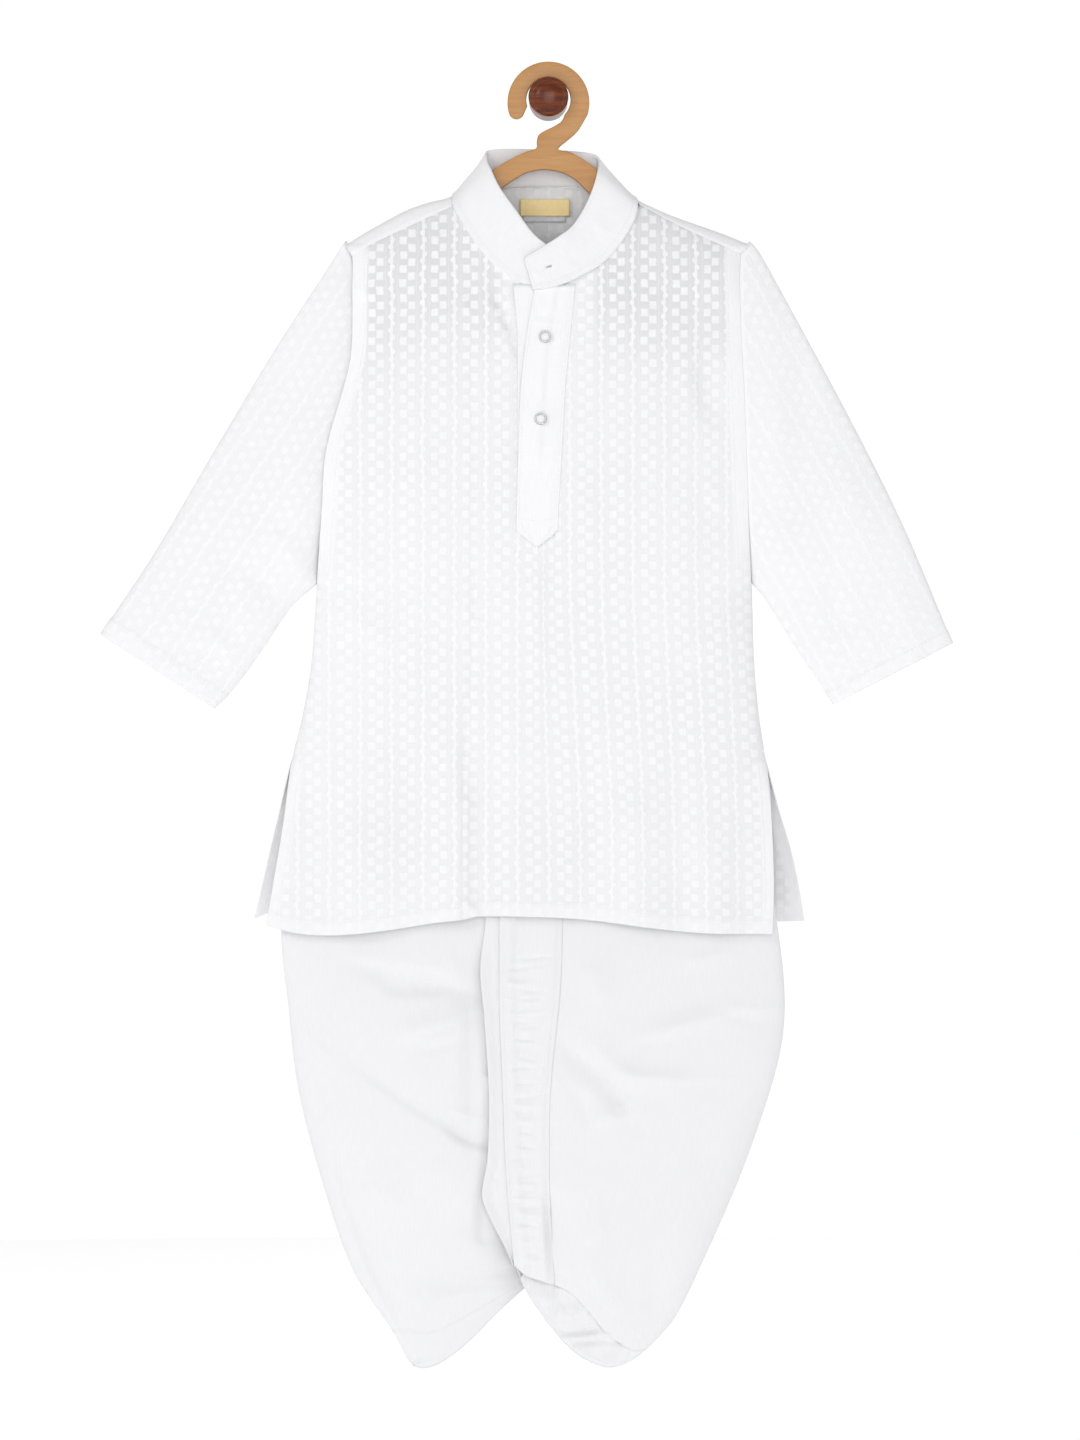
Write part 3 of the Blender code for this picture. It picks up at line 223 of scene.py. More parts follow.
SLEEVE_LEFT = table(
    SleeveRow, (0, -142.8, -103.7, -162.9, -341.7, 10), (0.06, -154, -120.8, -167, -345.2, 9.6),
    (0.24, -189.6, -174.3, -180, -357, 9.2), (0.5, -233.4, -246.5, -199, -385, 9),
    (0.78, -277.1, -320.9, -219, -412.8, 8.6), (1, -314, -376.2, -234.3, -428.3, 8.5),
)
SLEEVE_RIGHT = table(
    SleeveRow, (0, 142.8, -103.7, 143, -341.7, 10), (0.06, 148.5, -111.6, 148.6, -347.6, 9.6),
    (0.24, 171, -151.2, 160, -364.4, 9.2), (0.5, 210.6, -224, 172.6, -384.8, 9),
    (0.78, 249, -301, 189.4, -409.6, 8.6), (1, 283.4, -382.5, 199.9, -425.5, 8.5),
)

LEG_LEFT = table(
    LegRow, (0, -126, -416.3, -12, -416.3, 14.2), (0.1, -150, -455, -12, -455, 14),
    (0.2, -170, -500, -12, -500, 14), (0.38, -187.4, -583, -12, -583, 15),
    (0.5, -182.6, -634.7, -12, -634, 19), (0.62, -175.4, -695, -12, -688, 22.5),
    (0.76, -158.5, -760.1, -12, -744, 23), (0.9, -136.8, -822.8, -12, -796, 16, 2.5),
    (0.96, -115.1, -856.4, -14, -820, 11.5, 3.5), (1, -105.5, -868.5, -16.7, -834, 8.5, 4),
)
LEG_RIGHT = table(
    LegRow, (0, 104, -416.3, -12, -416.3, 14.2), (0.1, 127, -455, -12, -455, 14),
    (0.2, 146, -500, -12, -500, 14), (0.38, 160.9, -583, -12, -583, 15),
    (0.5, 165.7, -634.7, -12, -634, 19), (0.62, 160.4, -678, -12, -688, 22.5),
    (0.76, 139, -743, -12, -744, 23), (0.9, 106.7, -817.9, -12, -788, 15, -6.5),
    (0.96, 87.4, -856.4, -18.6, -806, 11.5, -8), (1, 68.1, -877, -23.5, -817.9, 8.5, -8.5),
)
HEM_LEFT = table(
    HemRow, (0, -105.5, -868.5, -105.5, -868.5), (0.1, -98.3, -885, -98.3, -885),
    (0.22, -88.6, -890.7, -88.6, -890.7), (0.36, -75.6, -887, -75.6, -887),
    (0.56, -57.3, -873.3, -57.3, -873.3), (0.8, -34, -850, -34, -850), (1, -16.7, -834, -16.7, -834),
)
HEM_RIGHT = table(
    HemRow, (0, 68.1, -877, 68.1, -877), (0.14, 56.1, -885.4, 60, -877.6),
    (0.28, 42.8, -889, 50.2, -872.6), (0.43, 29.5, -885.4, 39, -864), (0.58, 15.1, -875.8, 28, -850),
    (0.76, -1.8, -856.4, 13, -835.6), (0.91, -16.2, -834.7, -8, -826.4),
    (1, -23.5, -817.9, -23.5, -817.9),
)
LEG_FOLDS = table(
    Fold, (-122, -622, -50, -620, 7, 7, -2.6), (-122, -662, -54, -638, 9, 9, 2.6),
    (-74, -714, -48, -733, 6, 6, -2), (-136, -768, -104, -868, 8, 8, -1.6),
    (-94, -836, -30, -832, 7, 7, -1.8), (-53, -585, -53, -770, 7, 7, -2.6),
    (18, -656, 60, -716, 7, 7, -2.4), (36, -690, 104, -688, 8, 8, 2), (60, -656, 138, -640, 8, 8, 1.8),
)
FRONT_BAND = table(
    Strip, (-418, -34.4, 11), (-574, -34.4, 10.2), (-622.7, -34.4, 8.6), (-697.3, -31.9, 1.6),
    (-755, -29.5, 0.8), (-817.8, -24, 4.4),
)
PLEAT_FLAP = table(
    Strip, (-440, -43, -31.4), (-574.4, -44, -31.4), (-610.6, -47.6, -31.4), (-646.7, -44.6, -30.8),
    (-707, -41.4, -28.6), (-743.2, -42.6, -27.2), (-767.3, -46.4, -26.4), (-784, -40.6, -25.4),
    (-803, -31, -23), (-817, -24.6, -21.6),
)

# Hanger board: stem and bare middle of the arms, both of whose ends follow the shoulder
ARM_STATIONS = (80, 92, 104, 114, 122)
ARM_TIP_X = 126
STEM_LEFT = table(
    Line, (-8.7, -35.8), (-8.2, -31), (-6.9, -26.6), (-2.2, -23.4), (4.4, -20.2), (9.2, -16.8),
)
STEM_RIGHT = table(Line, (20.7, -23.3), (13.4, -30), (7.8, -34.6), (7.4, -36.8))
ARM_LEFT_TOP = table(
    Line, (-15.5, -38.2), (-23.4, -41.8), (-31.5, -46.2), (-38.6, -50.9), (-48, -58.4), (-58, -67),
    (-67.5, -72.4),
)
ARM_RIGHT_TOP = table(
    Line, (15, -38.6), (23.5, -43), (30.4, -48), (36.1, -53.3), (46, -63.6), (58, -73.6), (68, -77.6),
)
CROTCH = table(
    Line, (68, -92.6), (54, -86), (42, -78), (29.6, -68.2), (20, -58.8), (10.7, -53.2), (-2.2, -50.7),
    (-16.4, -53.3), (-33.6, -64.3), (-44, -72.4), (-55, -81), (-67.5, -87.4),
)


# Finer form than the solids', laid on their surfaces
Crease = namedtuple("Crease", "x0 z0 x1 z1 left right height bend open_end", defaults=(0,))

KURTA_HEM = 10.5          # turned hem of kurta and cuffs
LEFT_CUFF_HEM = 14
RIGHT_CUFF_HEM = 10.5
SLIT_HEM = 7              # turned edges of the side slits
LEG_HEM = 6
HEM_SPAN = 300            # millimetres to one share of the leg near its hem
PLAIN_STRIP = 10          # facing without the woven figure beside the armholes
FOLD_OVER = 0.45          # how far a turned hem stands proud
SHIFT = 7.5               # how far the figure's columns are set over right of the placket
SHIFT_FADE = (-316, -540)
FIGURE_SET = 0.477        # share of a repeat between a column and the middle

FRONT_CREASES = table(
    Crease, (-59, -420, -59.6, -592, 2.2, 20, -2, 0, 1), (-84, -296, -120, -376, 10, 16, -1.5, 3, 0.3),
    (-56, -150, -52, -330, 3, 9, -1, -2, 1), (-52, -320, -58, -462, 3, 10, -1.2, -2, 1),
    (-122, -337, -66, -292, 12, 8, 1.3, 5), (108, -262, 132, -298, 5, 9, 1.1, 3),
    (-30, -140, -14, -196, 3, 5, -1.2, 4), (-46, -136, -30, -158, 3, 4, 0.9, 2),
    (-58, -138, -55, -158, 3, 4.5, 1.5, 2), (-39, -133, -20, -170, 3.5, 6, -1.5, 3),
    (-33, -131, -24, -152, 3, 3, 1.05, 0), (-137, -133, -118, -140, 3, 4, 1.35, 1),
    (108, -176, 120, -236, 7, 12, -1.65, 5), (88, -150, 96, -226, 8, 10, 1.05, -4),
    (24, -205, 31, -330, 9, 12, 0.9, 6), (-96, -190, -88, -330, 12, 9, 0.9, -6),
    (-9, -318, -2, -420, 7, 10, 1.05, 4), (-120, -260, -100, -350, 12, 16, -1.35, 8),
    (118, -250, 104, -352, 16, 12, -1.35, -8), (-150, -348, -96, -392, 10, 10, 1.2, 6),
    (134, -348, 88, -398, 10, 10, 1.2, -6), (-20, -400, -14, -592, 12, 16, 1.65, 5, 1),
    (26, -430, 30, -592, 14, 10, -1.8, -4, 1), (90, -410, 96, -592, 12, 14, -1.65, 4, 1),
    (-96, -430, -98, -592, 14, 12, -1.8, -4, 1), (-150, -470, -160, -592, 10, 12, -1.8, 3, 1),
    (136, -470, 140, -592, 12, 9, -1.5, 3, 1), (-59, -560, -49, -576, 3, 4, 1.5, 0, 1),
    (40, -250, 76, -300, 12, 12, 0.68, 6), (-80, -370, -38, -340, 12, 12, 0.75, 6),
)
BACK_CREASES = table(
    Crease, (-60, -160, -64, -290, 12, 10, 1.2, 6), (52, -150, 60, -280, 10, 12, 1.2, -6),
    (-4, -180, 4, -350, 12, 12, -1.35, 7), (-120, -250, -96, -350, 12, 15, -1.65, 8),
    (118, -240, 100, -352, 15, 12, -1.65, -8), (-38, -430, -40, -592, 12, 14, -2.1, 4, 1),
    (50, -420, 54, -592, 14, 12, -1.95, -4, 1), (-130, -470, -138, -592, 12, 12, 1.8, 4, 1),
    (138, -470, 142, -592, 12, 12, 1.65, -4, 1), (-30, -146, 30, -150, 6, 6, 0.75, 5),
)
LEFT_SLEEVE_CREASES = table(
    Crease, (-160, -200, -176, -330, 9, 12, 1.6, 8), (-152, -136, -186, -240, 8, 10, -1.44, 10),
    (-168, -352, -204, -300, 7, 9, 1.92, 8), (-184, -366, -226, -322, 7, 7, -1.44, 6),
    (-200, -250, -256, -350, 10, 12, 1.28, 10), (-222, -300, -246, -410, 9, 9, -1.28, -8),
    (-262, -340, -286, -398, 8, 8, 1.12, 4, 1), (-214, -398, -250, -374, 6, 8, 1.28, 4),
)
RIGHT_SLEEVE_CREASES = table(
    Crease, (150, -190, 160, -320, 12, 9, 1.6, -8), (154, -130, 180, -250, 10, 8, -1.44, -10),
    (150, -350, 184, -292, 9, 7, 1.92, -8), (164, -372, 200, -330, 7, 7, -1.44, -6),
    (188, -240, 226, -350, 12, 10, 1.28, -10), (200, -290, 214, -406, 9, 9, -1.28, 8),
    (236, -330, 256, -396, 8, 8, 1.12, -4, 1), (184, -400, 222, -372, 8, 6, 1.28, -4),
)
LEG_CREASES = table(
    Crease, (-160, -606, -50, -629, 9, 4.5, -2.6, -4, 0.6), (-120, -614, -92, -628, 6, 5, -1.2, 3),
    (-109, -662, -47, -641, 2.4, 8, 1.9, 2, 0.8), (-100, -671, -52, -655, 3, 7, -1.6, 2, 0.4),
    (-158, -657, -49, -731, 3, 11, -1.9, 5, 0.5), (-175, -640, -143, -684, 8, 3, 1.5, 3),
    (-76, -718, -42, -735, 2.4, 7, -2.2, 2, 0.8), (-72, -708, -45, -716, 2.4, 4, 1.4, 1, 0.4),
    (-152, -706, -104, -857, 3.5, 11, -4, 9, 0.4), (-131, -756, -80, -786, 3, 8, 1.2, 3),
    (-103, -836, -24, -823, 4, 5, -2.6, -3, 0.8), (-94, -846, -30, -836, 4, 4, 1.5, -3, 0.6),
    (-112, -810, -50, -786, 9, 9, 1.4, 6), (-47, -585, -43, -668, 3, 8, -2.6, 1, 1),
    (-41, -660, -47, -778, 3, 8, -2.6, -2, 0.6), (-84, -640, -62, -596, 6, 6, 1.3, 4),
    (-92, -700, -70, -780, 14, 18, 1.6, 5), (7, -650, 46, -692, 10, 3, -2.5, 4, 0.7),
    (40, -684, 63, -719, 8, 2.6, -2.1, 2, 0.3), (26, -656, 66, -690, 3, 6, 1.6, 4),
    (46, -663, 136, -636, 2.2, 8, 1.6, 3, 0.2), (20, -681, 136, -689, 1.8, 6, 1.2, 2, 0.3),
    (24, -722, 70, -711, 2.4, 7, 1.6, -2, 0.2), (20, -688, 32, -722, 7, 3, -1.6, 1, 0.2),
    (118, -637, 161, -639, 1.8, 5, 1.3, 1, 0.6), (124, -644, 160, -648, 4, 2, -1, 1, 0.6),
    (66, -842, 156, -706, 24, 24, 5, 6, 0.3), (14, -806, 60, -772, 5, 9, 1.3, 4),
    (42, -756, 46, -808, 4, 9, -1.3, 2), (90, -606, 132, -594, 5, 5, 1.2, 3),
    (28, -600, 44, -640, 8, 10, 1.4, 3), (24, -800, 62, -862, 7, 8, 1.4, 5),
    (84, -800, 72, -866, 6, 7, -1.3, 4), (100, -720, 128, -770, 8, 12, -1.3, 4),
)
LEG_BACK_CREASES = table(
    Crease, (-140, -620, -60, -648, 7, 8, -2.21, 6), (-130, -690, -50, -664, 7, 8, 2.21, 6),
    (-104, -740, -40, -716, 6, 8, -1.87, 6), (-110, -830, -44, -786, 8, 9, 1.87, 8),
    (36, -640, 120, -618, 7, 8, -2.21, -6), (26, -668, 112, -692, 7, 8, 2.21, -6),
    (20, -716, 84, -744, 6, 8, -1.87, -6), (24, -782, 80, -826, 8, 9, 1.87, -8),
    (-30, -590, -22, -720, 6, 8, 1.7, 4), (8, -590, 4, -720, 8, 6, 1.7, -4),
)
COLLAR_CREASES = table(
    Crease, (-14, -121, -2, -128, 2.5, 3.5, 0.56, 1), (12, -110, 26, -118, 3, 4, -0.56, 1),
    (30, -88, 44, -96, 3, 4, 0.64, 1), (-30, -84, -46, -98, 3, 4, 0.64, 1),
)
PLACKET_CREASES = table(
    Crease, (-13, -158.5, 13, -160, 1.2, 1.6, 0.59, 0.6), (-12, -154, 6, -155, 1.2, 1.6, -0.45, 0.4),
    (-17, -244, 8, -246, 2, 3, 0.39, 1),
)
TRIM_SHELL = 0.0009       # shells of strips, collar, waistband and labels, in metres
COLLAR_SHELL = 0.0018
BAND_SHELL = 0.0015
LABEL_SHELL = 0.0006
PUCKERS = 40              # short ridges down the dhoti's front border
PUCKER_FROM = -600
PUCKER_TO = -816
BORDER_PUCKERS = 9
BORDER_CREASES = table(
    Crease, (0, -866, 50, -860.6, 1.1, 4.4, 2.6, 1.4, 0.8),
    (10, -873.8, 46, -872, 1, 3.6, 2.2, -1, 0.5), (-6, -848, 22, -850.5, 1.2, 4, -2, 1.2, 0.6),
    (28, -857, 46, -868, 1, 3.2, -2, 0.8, 0.5),
)
SEWN_STEP = 3          # largest step in depth from one sewn place to the next
WAIST_GATHERS = 58
LEG_GATHERS = 15
FLAP_PUCKERS = 14
FLAP_TO = -800
FLAP_FREE_Z = -574        # height below which the flap's edge stands off

# Stitch rows given by places on the fabric seen from the front
FRONT_HEM_UP = 9.6
ARMHOLE_ROW = 8.6
SLIT_ROW = 6.2
DHOTI_HEM_LEFT_ROW = table(
    Line, (-102.7, -864.4), (-86.9, -866.4), (-75.2, -863.5), (-57.5, -853.7), (-30, -838), (-22, -832),
)
BUTTONHOLE = table(Line, (-3.2, -120.9), (2.7, -119.2))
BUTTONHOLE_HALF = 0.55

HANGER_STEPS = 5          # points between two of the outline's own
KNOB_TURNS = 96


def lerp(a, b, t):
    """Value a share t of the way from a to b."""
    return a + (b - a) * t


def ease(t):
    """Smooth step from 0 to 1."""
    t = min(max(t, 0), 1)
    return t * t * (3 - 2 * t)


def column_of(rows, name):
    """One column of a table as an array."""
    return [getattr(row, name) for row in rows]


LOOKUPS = {}


def along(rows, key, value, place, smooth=True):
    """Reads the column named value where the column named key equals place."""
    label = (id(rows), key, value)
    if label not in LOOKUPS:
        keys = column_of(rows, key)
        values = column_of(rows, value)
        if keys[0] > keys[-1]:
            keys.reverse()
            values.reverse()
        slopes = []
        last = len(keys) - 1
        for j in range(len(keys)):
            before, after = max(j - 1, 0), min(j + 1, last)
            turns = (values[j] - values[before]) * (values[after] - values[j]) <= 0
            if 0 < j < last and turns:
                slopes.append(0)
            else:
                slopes.append((values[after] - values[before]) / (keys[after] - keys[before]))
        LOOKUPS[label] = keys, values, slopes
    keys, values, slopes = LOOKUPS[label]
    place = min(max(place, keys[0]), keys[-1])
    i = 0
    while i < len(keys) - 2 and place > keys[i + 1]:
        i += 1
    span = keys[i + 1] - keys[i]
    t = (place - keys[i]) / span
    if not smooth:
        return lerp(values[i], values[i + 1], t)
    return (
        values[i] * (1 + 2 * t) * (1 - t) ** 2
        + slopes[i] * span * t * (1 - t) ** 2
        + values[i + 1] * t * t * (3 - 2 * t)
        - slopes[i + 1] * span * t * t * (1 - t)
    )


def smooth_steps(t):
    """Smooth step from 0 to 1 for an array."""
    t = np.clip(t, 0, 1)
    return t * t * (3 - 2 * t)


def crease_heights(creases, x, z):
    """Sum of the creases at an array of places, each a soft bent ridge or trough."""
    total = np.zeros_like(x)
    for crease in creases:
        run_x = crease.x1 - crease.x0
        run_z = crease.z1 - crease.z0
        length = math.hypot(run_x, run_z)
        t = ((x - crease.x0) * run_x + (z - crease.z0) * run_z) / length ** 2
        side = ((x - crease.x0) * run_z - (z - crease.z0) * run_x) / length
        kept = np.clip(t, 0, 1)
        side = side - crease.bend * 4 * kept * (1 - kept)
        width = np.where(side > 0, crease.left, crease.right)
        fall = smooth_steps((1 - t) / 0.4)
        ends = smooth_steps(t / 0.4) * (fall + (1 - fall) * crease.open_end * (t < 1.2))
        total += crease.height * ends * np.exp(-((side / width) ** 2))
    return total


def ripple(x, z, size_x, size_z, height, seed):
    """Low uneven swell of the cloth."""
    out = np.empty(x.size)
    for k, (px, pz) in enumerate(zip(x.ravel() / size_x, z.ravel() / size_z)):
        out[k] = noise.noise((px, pz, seed))
    return out.reshape(x.shape) * height


def turned_edge(distance, width):
    """Relief of a hem of this width: proud over its fold, with a groove along its stitches."""
    proud = FOLD_OVER * (1 - smooth_steps((distance - width + 0.6) / 1.2))
    groove = 0.22 * np.exp(-(((distance - width + 1.4) / 0.8) ** 2))
    return proud - groove


def shares(count, *stretches):
    """Shares from 0 to 1 in even steps, with finer ones in each stretch of start, end, steps."""
    places = [i / count for i in range(count + 1)]
    for start, end, steps in stretches:
        places += [lerp(start, end, i / steps) for i in range(steps + 1)]
    kept = []
    for place in sorted(places):
        if not kept or place - kept[-1] > 0.2 / count:
            kept.append(place)
    kept[-1] = 1
    return kept


def outward(points, side, closed):
    """Unit normals of a grid of points, side being which way is out of the cloth."""
    if closed:
        ring = np.concatenate([points[:, -2:-1], points, points[:, 1:2]], axis=1)
        across = ring[:, 2:] - ring[:, :-2]
    else:
        across = np.gradient(points, axis=1)
    down = np.gradient(points, axis=0)
    normals = np.cross(across, down) * side
    size = np.linalg.norm(normals, axis=2, keepdims=True)
    return normals / np.maximum(size, 1.0e-9)


SHEETS = {}


def place_on(sheet, u, v, lift=0):
    """Point in millimetres and normal at two shares of a finished sheet."""
    across, down, points, normals = SHEETS[sheet]
    a = float(np.interp(u, across, range(len(across))))
    b = float(np.interp(v, down, range(len(down))))
    i, j = min(int(a), len(across) - 2), min(int(b), len(down) - 2)
    s, t = a - i, b - j

    def mixed(grid):
        """Value between the four grid points around the place."""
        upper = grid[j, i] * (1 - s) + grid[j, i + 1] * s
        lower = grid[j + 1, i] * (1 - s) + grid[j + 1, i + 1] * s
        return upper * (1 - t) + lower * t

    normal = Vector(mixed(normals)).normalized()
    return Vector(mixed(points)) + normal * lift, normal


TREES = {}


def seen_place(sheet, x, z, front=True):
    """Point in millimetres and normal where a line along Y meets a finished sheet."""
    if sheet not in TREES:
        across, down, points, _ = SHEETS[sheet]
        wide = len(across)
        corners = [Vector(point) for point in points.reshape(-1, 3)]
        quads = []
        for j in range(len(down) - 1):
            for i in range(wide - 1):
                k = j * wide + i
                quads.append((k, k + 1, k + wide + 1, k + wide))
        TREES[sheet] = BVHTree.FromPolygons(corners, quads)
    start = -400 if front else 400
    way = Vector((0, 1 if front else -1, 0))
    point, normal, _, _ = TREES[sheet].ray_cast(Vector((x, start, z)), way)
    if point is None:
        return None
    if normal.dot(way) > 0:
        normal = -normal
    return point, normal


def sheet_mesh(across, down, points, flat, plain, closed, keep, side):
    """Grid of one sheet as a bmesh in metres, with its flat map and its plain places."""
    columns, rows = len(across) - 1, len(down) - 1
    cloth = bmesh.new()
    bmesh.ops.create_grid(cloth, x_segments=columns, y_segments=rows, size=0.5)
    column = cloth.verts.layers.int.new("column")
    row = cloth.verts.layers.int.new("row")
    bare = cloth.verts.layers.float.new("plain")
    for vert in cloth.verts:
        i = round((vert.co.x + 0.5) * columns)
        j = round((0.5 - vert.co.y) * rows)
        vert[column], vert[row] = i, j
        vert[bare] = plain[j, i]
        vert.co = Vector(points[j, i]) * MM
    if keep:
        spare = []
        for face in cloth.faces:
            u = sum(across[vert[column]] for vert in face.verts) / 4
            v = sum(down[vert[row]] for vert in face.verts) / 4
            if not keep(u, v):
                spare.append(face)
        bmesh.ops.delete(cloth, geom=spare, context="FACES")
    uv = cloth.loops.layers.uv.new("cloth")
    for face in cloth.faces:
        for loop in face.loops:
            loop[uv].uv = flat[loop.vert[row], loop.vert[column]]
    cloth.verts.layers.int.remove(column)
    cloth.verts.layers.int.remove(cloth.verts.layers.int["row"])
    if closed:
        bmesh.ops.remove_doubles(cloth, verts=cloth.verts[:], dist=1.0e-6)
    if side > 0:
        bmesh.ops.reverse_faces(cloth, faces=cloth.faces[:])
    return cloth


def put_in(name, data):
    """New object of this data, in the scene."""
    thing = bpy.data.objects.new(name, data)
    bpy.context.scene.collection.objects.link(thing)
    return thing


def finish_piece(name, shape, look, slot, replaced, smooth_angle=None):
    """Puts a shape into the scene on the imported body, in place of the solids it stands for."""
    mesh = bpy.data.meshes.new(name)
    shape.to_mesh(mesh)
    shape.free()
    mesh.shade_smooth()
    if smooth_angle:
        mesh.set_sharp_from_angle(angle=math.radians(smooth_angle))
    mesh.materials.append(finish(look))
    piece = put_in(name, mesh)
    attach(piece, "root")
    if replaced:
        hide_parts(*replaced)
    return piece


def run_on(base, normals, first, allowance):
    """Seam allowance: one more row past the first or the last, turned under its neighbour."""
    reach, sink = allowance
    edge, inner = (base[0], base[1]) if first else (base[-1], base[-2])
    way = edge - inner
    way /= np.maximum(np.linalg.norm(way, axis=1, keepdims=True), 1.0e-6)
    return edge + way * reach - (normals[0] if first else normals[-1]) * sink


def make_sheet(name, surface, side, across, down, rise, flat, look, slot, replaced,
               plain=None, closed=False, keep=None, thick=None, start=None, end=None):
    """One piece of cloth: a surface raised by its creases and given the cloth's thickness."""
    base = np.array([[tuple(surface(u % 1 if closed else u, v)) for u in across] for v in down])
    for first, allowance in ((True, start), (False, end)):
        if allowance:
            extra = run_on(base, outward(base, side, closed), first, allowance)[None]
            base = np.concatenate([extra, base] if first else [base, extra])
            down = [0, *down] if first else [*down, 1]
    u, v = np.meshgrid(across, down)
    x, z = base[..., 0], base[..., 2]
    normals = outward(base, side, closed)
    lifted = rise(x, z, u, v)
    if closed:
        lifted[:, -1] = lifted[:, 0]
    points = base + normals * lifted[..., None]
    bare = np.zeros_like(x) if plain is None else plain(x, z, u, v)
    shape = sheet_mesh(across, down, points, flat(x, z, u, v), bare, closed, keep, side)
    SHEETS[name] = across, down, points, outward(points, side, closed)
    piece = finish_piece(name, shape, look, slot, replaced)
    wall = piece.modifiers.new("thickness", "SOLIDIFY")
    wall.thickness = thick or settings().shell
    wall.offset = -1
    return piece


def on_front(x, z, u, v):
    """Flat map of a sheet that hangs straight: its own width and height in metres."""
    return np.stack([x, z], axis=-1) * MM


def on_axis(run_x, run_z):
    """Flat map turned so that its height runs along a sleeve."""
    size = math.hypot(run_x, run_z)

    def mapped(x, z, u, v):
        """Distances across and along the sleeve in metres."""
        down = (x * run_x + z * run_z) / size
        beside = (x * run_z - z * run_x) / size
        return np.stack([beside, -down], axis=-1) * MM

    return mapped


def fold_height(folds, x, z):
    """Sum of the folds at a place, each a soft ridge or trough beside its own line."""
    total = 0
    for fold in folds:
        run_x = fold.x1 - fold.x0
        run_z = fold.z1 - fold.z0
        length = math.hypot(run_x, run_z)
        t = ((x - fold.x0) * run_x + (z - fold.z0) * run_z) / length ** 2
        if t <= 0 or t >= 1:
            continue
        side = ((x - fold.x0) * run_z - (z - fold.z0) * run_x) / length
        width = fold.left if side > 0 else fold.right
        rise = ease(t / 0.4)
        fall = lerp(1 - ease((t - 0.6) / 0.4), 1, fold.end)
        total += fold.height * rise * fall * math.exp(-((side / width) ** 2))
    return total


def spot_on(rows, key, line, place):
    """Place (x, z) of one of a table's lines where the column named key equals place."""
    return [along(rows, key, f"{line}_{axis}", place) for axis in "xz"]


def ridge(x):
    """Height of the shoulder ridge."""
    return along(SHOULDER, "x", "z", x)


def body_edges(z, back):
    """Side edges of the body at one height."""
    left = along(BODY_LEFT, "z", "x", z)
    right = along(BODY_RIGHT, "z", "x", z)
    if back:
        left += along(BACK_FLARE_LEFT, "z", "x", z)
        right += along(BACK_FLARE_RIGHT, "z", "x", z)
    return left, right


def loop_share(f):
    """Depth of a flattened loop a share f of the way down it, blunt above and round below."""
    circle = 2 * math.sqrt(max(f * (1 - f), 0))
    return circle ** lerp(0.5, 1, ease(f / 0.5))


def armhole_share(z):
    """How deep the armhole loop is at one height, 0 at its two ends and 1 halfway."""
    f = (SHOULDER_TIP_Z - z) / (SHOULDER_TIP_Z - ARMPIT_Z)
    return loop_share(f) if 0 < f < 1 else 0


def half_depth(x, z, back):
    """Distance of the body's outside from the middle plane, before its folds."""
    left, right = body_edges(z, back)
    u = min(abs(2 * (x - left) / (right - left) - 1), 1)
    limit = along(BODY_DEPTH, "z", "half", z)
    drop = max(ridge(x) - z, 0)
    full = limit * math.sqrt(1 - math.exp(-2 * ARCH * drop / limit ** 2))
    proud = PROUD_HALF if x < 0 and not back else ARMHOLE_HALF
    edge = proud * armhole_share(z) + along(SLIT_DEPTH, "z", "half", z)
    soft = 1 - u ** lerp(24, 4, ease(drop / 60))
    rounded = (1 - u ** ROUND_SIDE) ** (1 / ROUND_SIDE)
    turn = ease((-280 - z) / 60) * (1 - ease((SLIT_Z - z) / 45))
    return edge + (full - edge) * lerp(soft, rounded, turn)


def front_point(x, z):
    """Point on the outside of the front."""
    depth = half_depth(x, z, False) + fold_height(FRONT_FOLDS, x, z)
    return Vector((x, MID_Y - SEAM / 2 - depth, z))


def back_point(x, z):
    """Point on the outside of the back."""
    depth = half_depth(x, z, True) + fold_height(BACK_FOLDS, x, z)
    return Vector((x, MID_Y + SEAM / 2 + depth, z))


def front_top(x):
    """Upper edge of the front panel: yoke seam, neckline, yoke seam."""
    if x < NECKLINE[0].x:
        return along(YOKE_SEAM_LEFT, "x", "z", x)
    if x > NECKLINE[-1].x:
        return along(YOKE_SEAM_RIGHT, "x", "z", x)
    return along(NECKLINE, "x", "z", x)


def shoulder_spacing(u, neck_left, neck_right):
    """Share of the width for a column: dense at the side edges, a column at each neck corner."""
    if u < 0.25:
        return neck_left * (u / 0.25) ** 1.5
    if u > 0.75:
        return 1 - (1 - neck_right) * ((1 - u) / 0.25) ** 1.5
    return lerp(neck_left, neck_right, (u - 0.25) / 0.5)


def front_surface(u, v):
    """Outside of the front panel."""
    left, right = YOKE_SEAM_LEFT[0].x, YOKE_SEAM_RIGHT[-1].x
    width = right - left
    neck_left = (NECKLINE[0].x - left) / width
    neck_right = (NECKLINE[-1].x - left) / width
    s = shoulder_spacing(u, neck_left, neck_right)
    top = front_top(lerp(left, right, s)) - 2 * SEAM
    hem_left, hem_right = FRONT_HEM[0].x, FRONT_HEM[-1].x
    bottom = along(FRONT_HEM, "x", "z", lerp(hem_left, hem_right, s))
    z = lerp(top, bottom, v)
    edge_left, edge_right = body_edges(min(z, YOKE_SEAM_LEFT[0].z), False)
    return front_point(lerp(edge_left, edge_right, s), z)


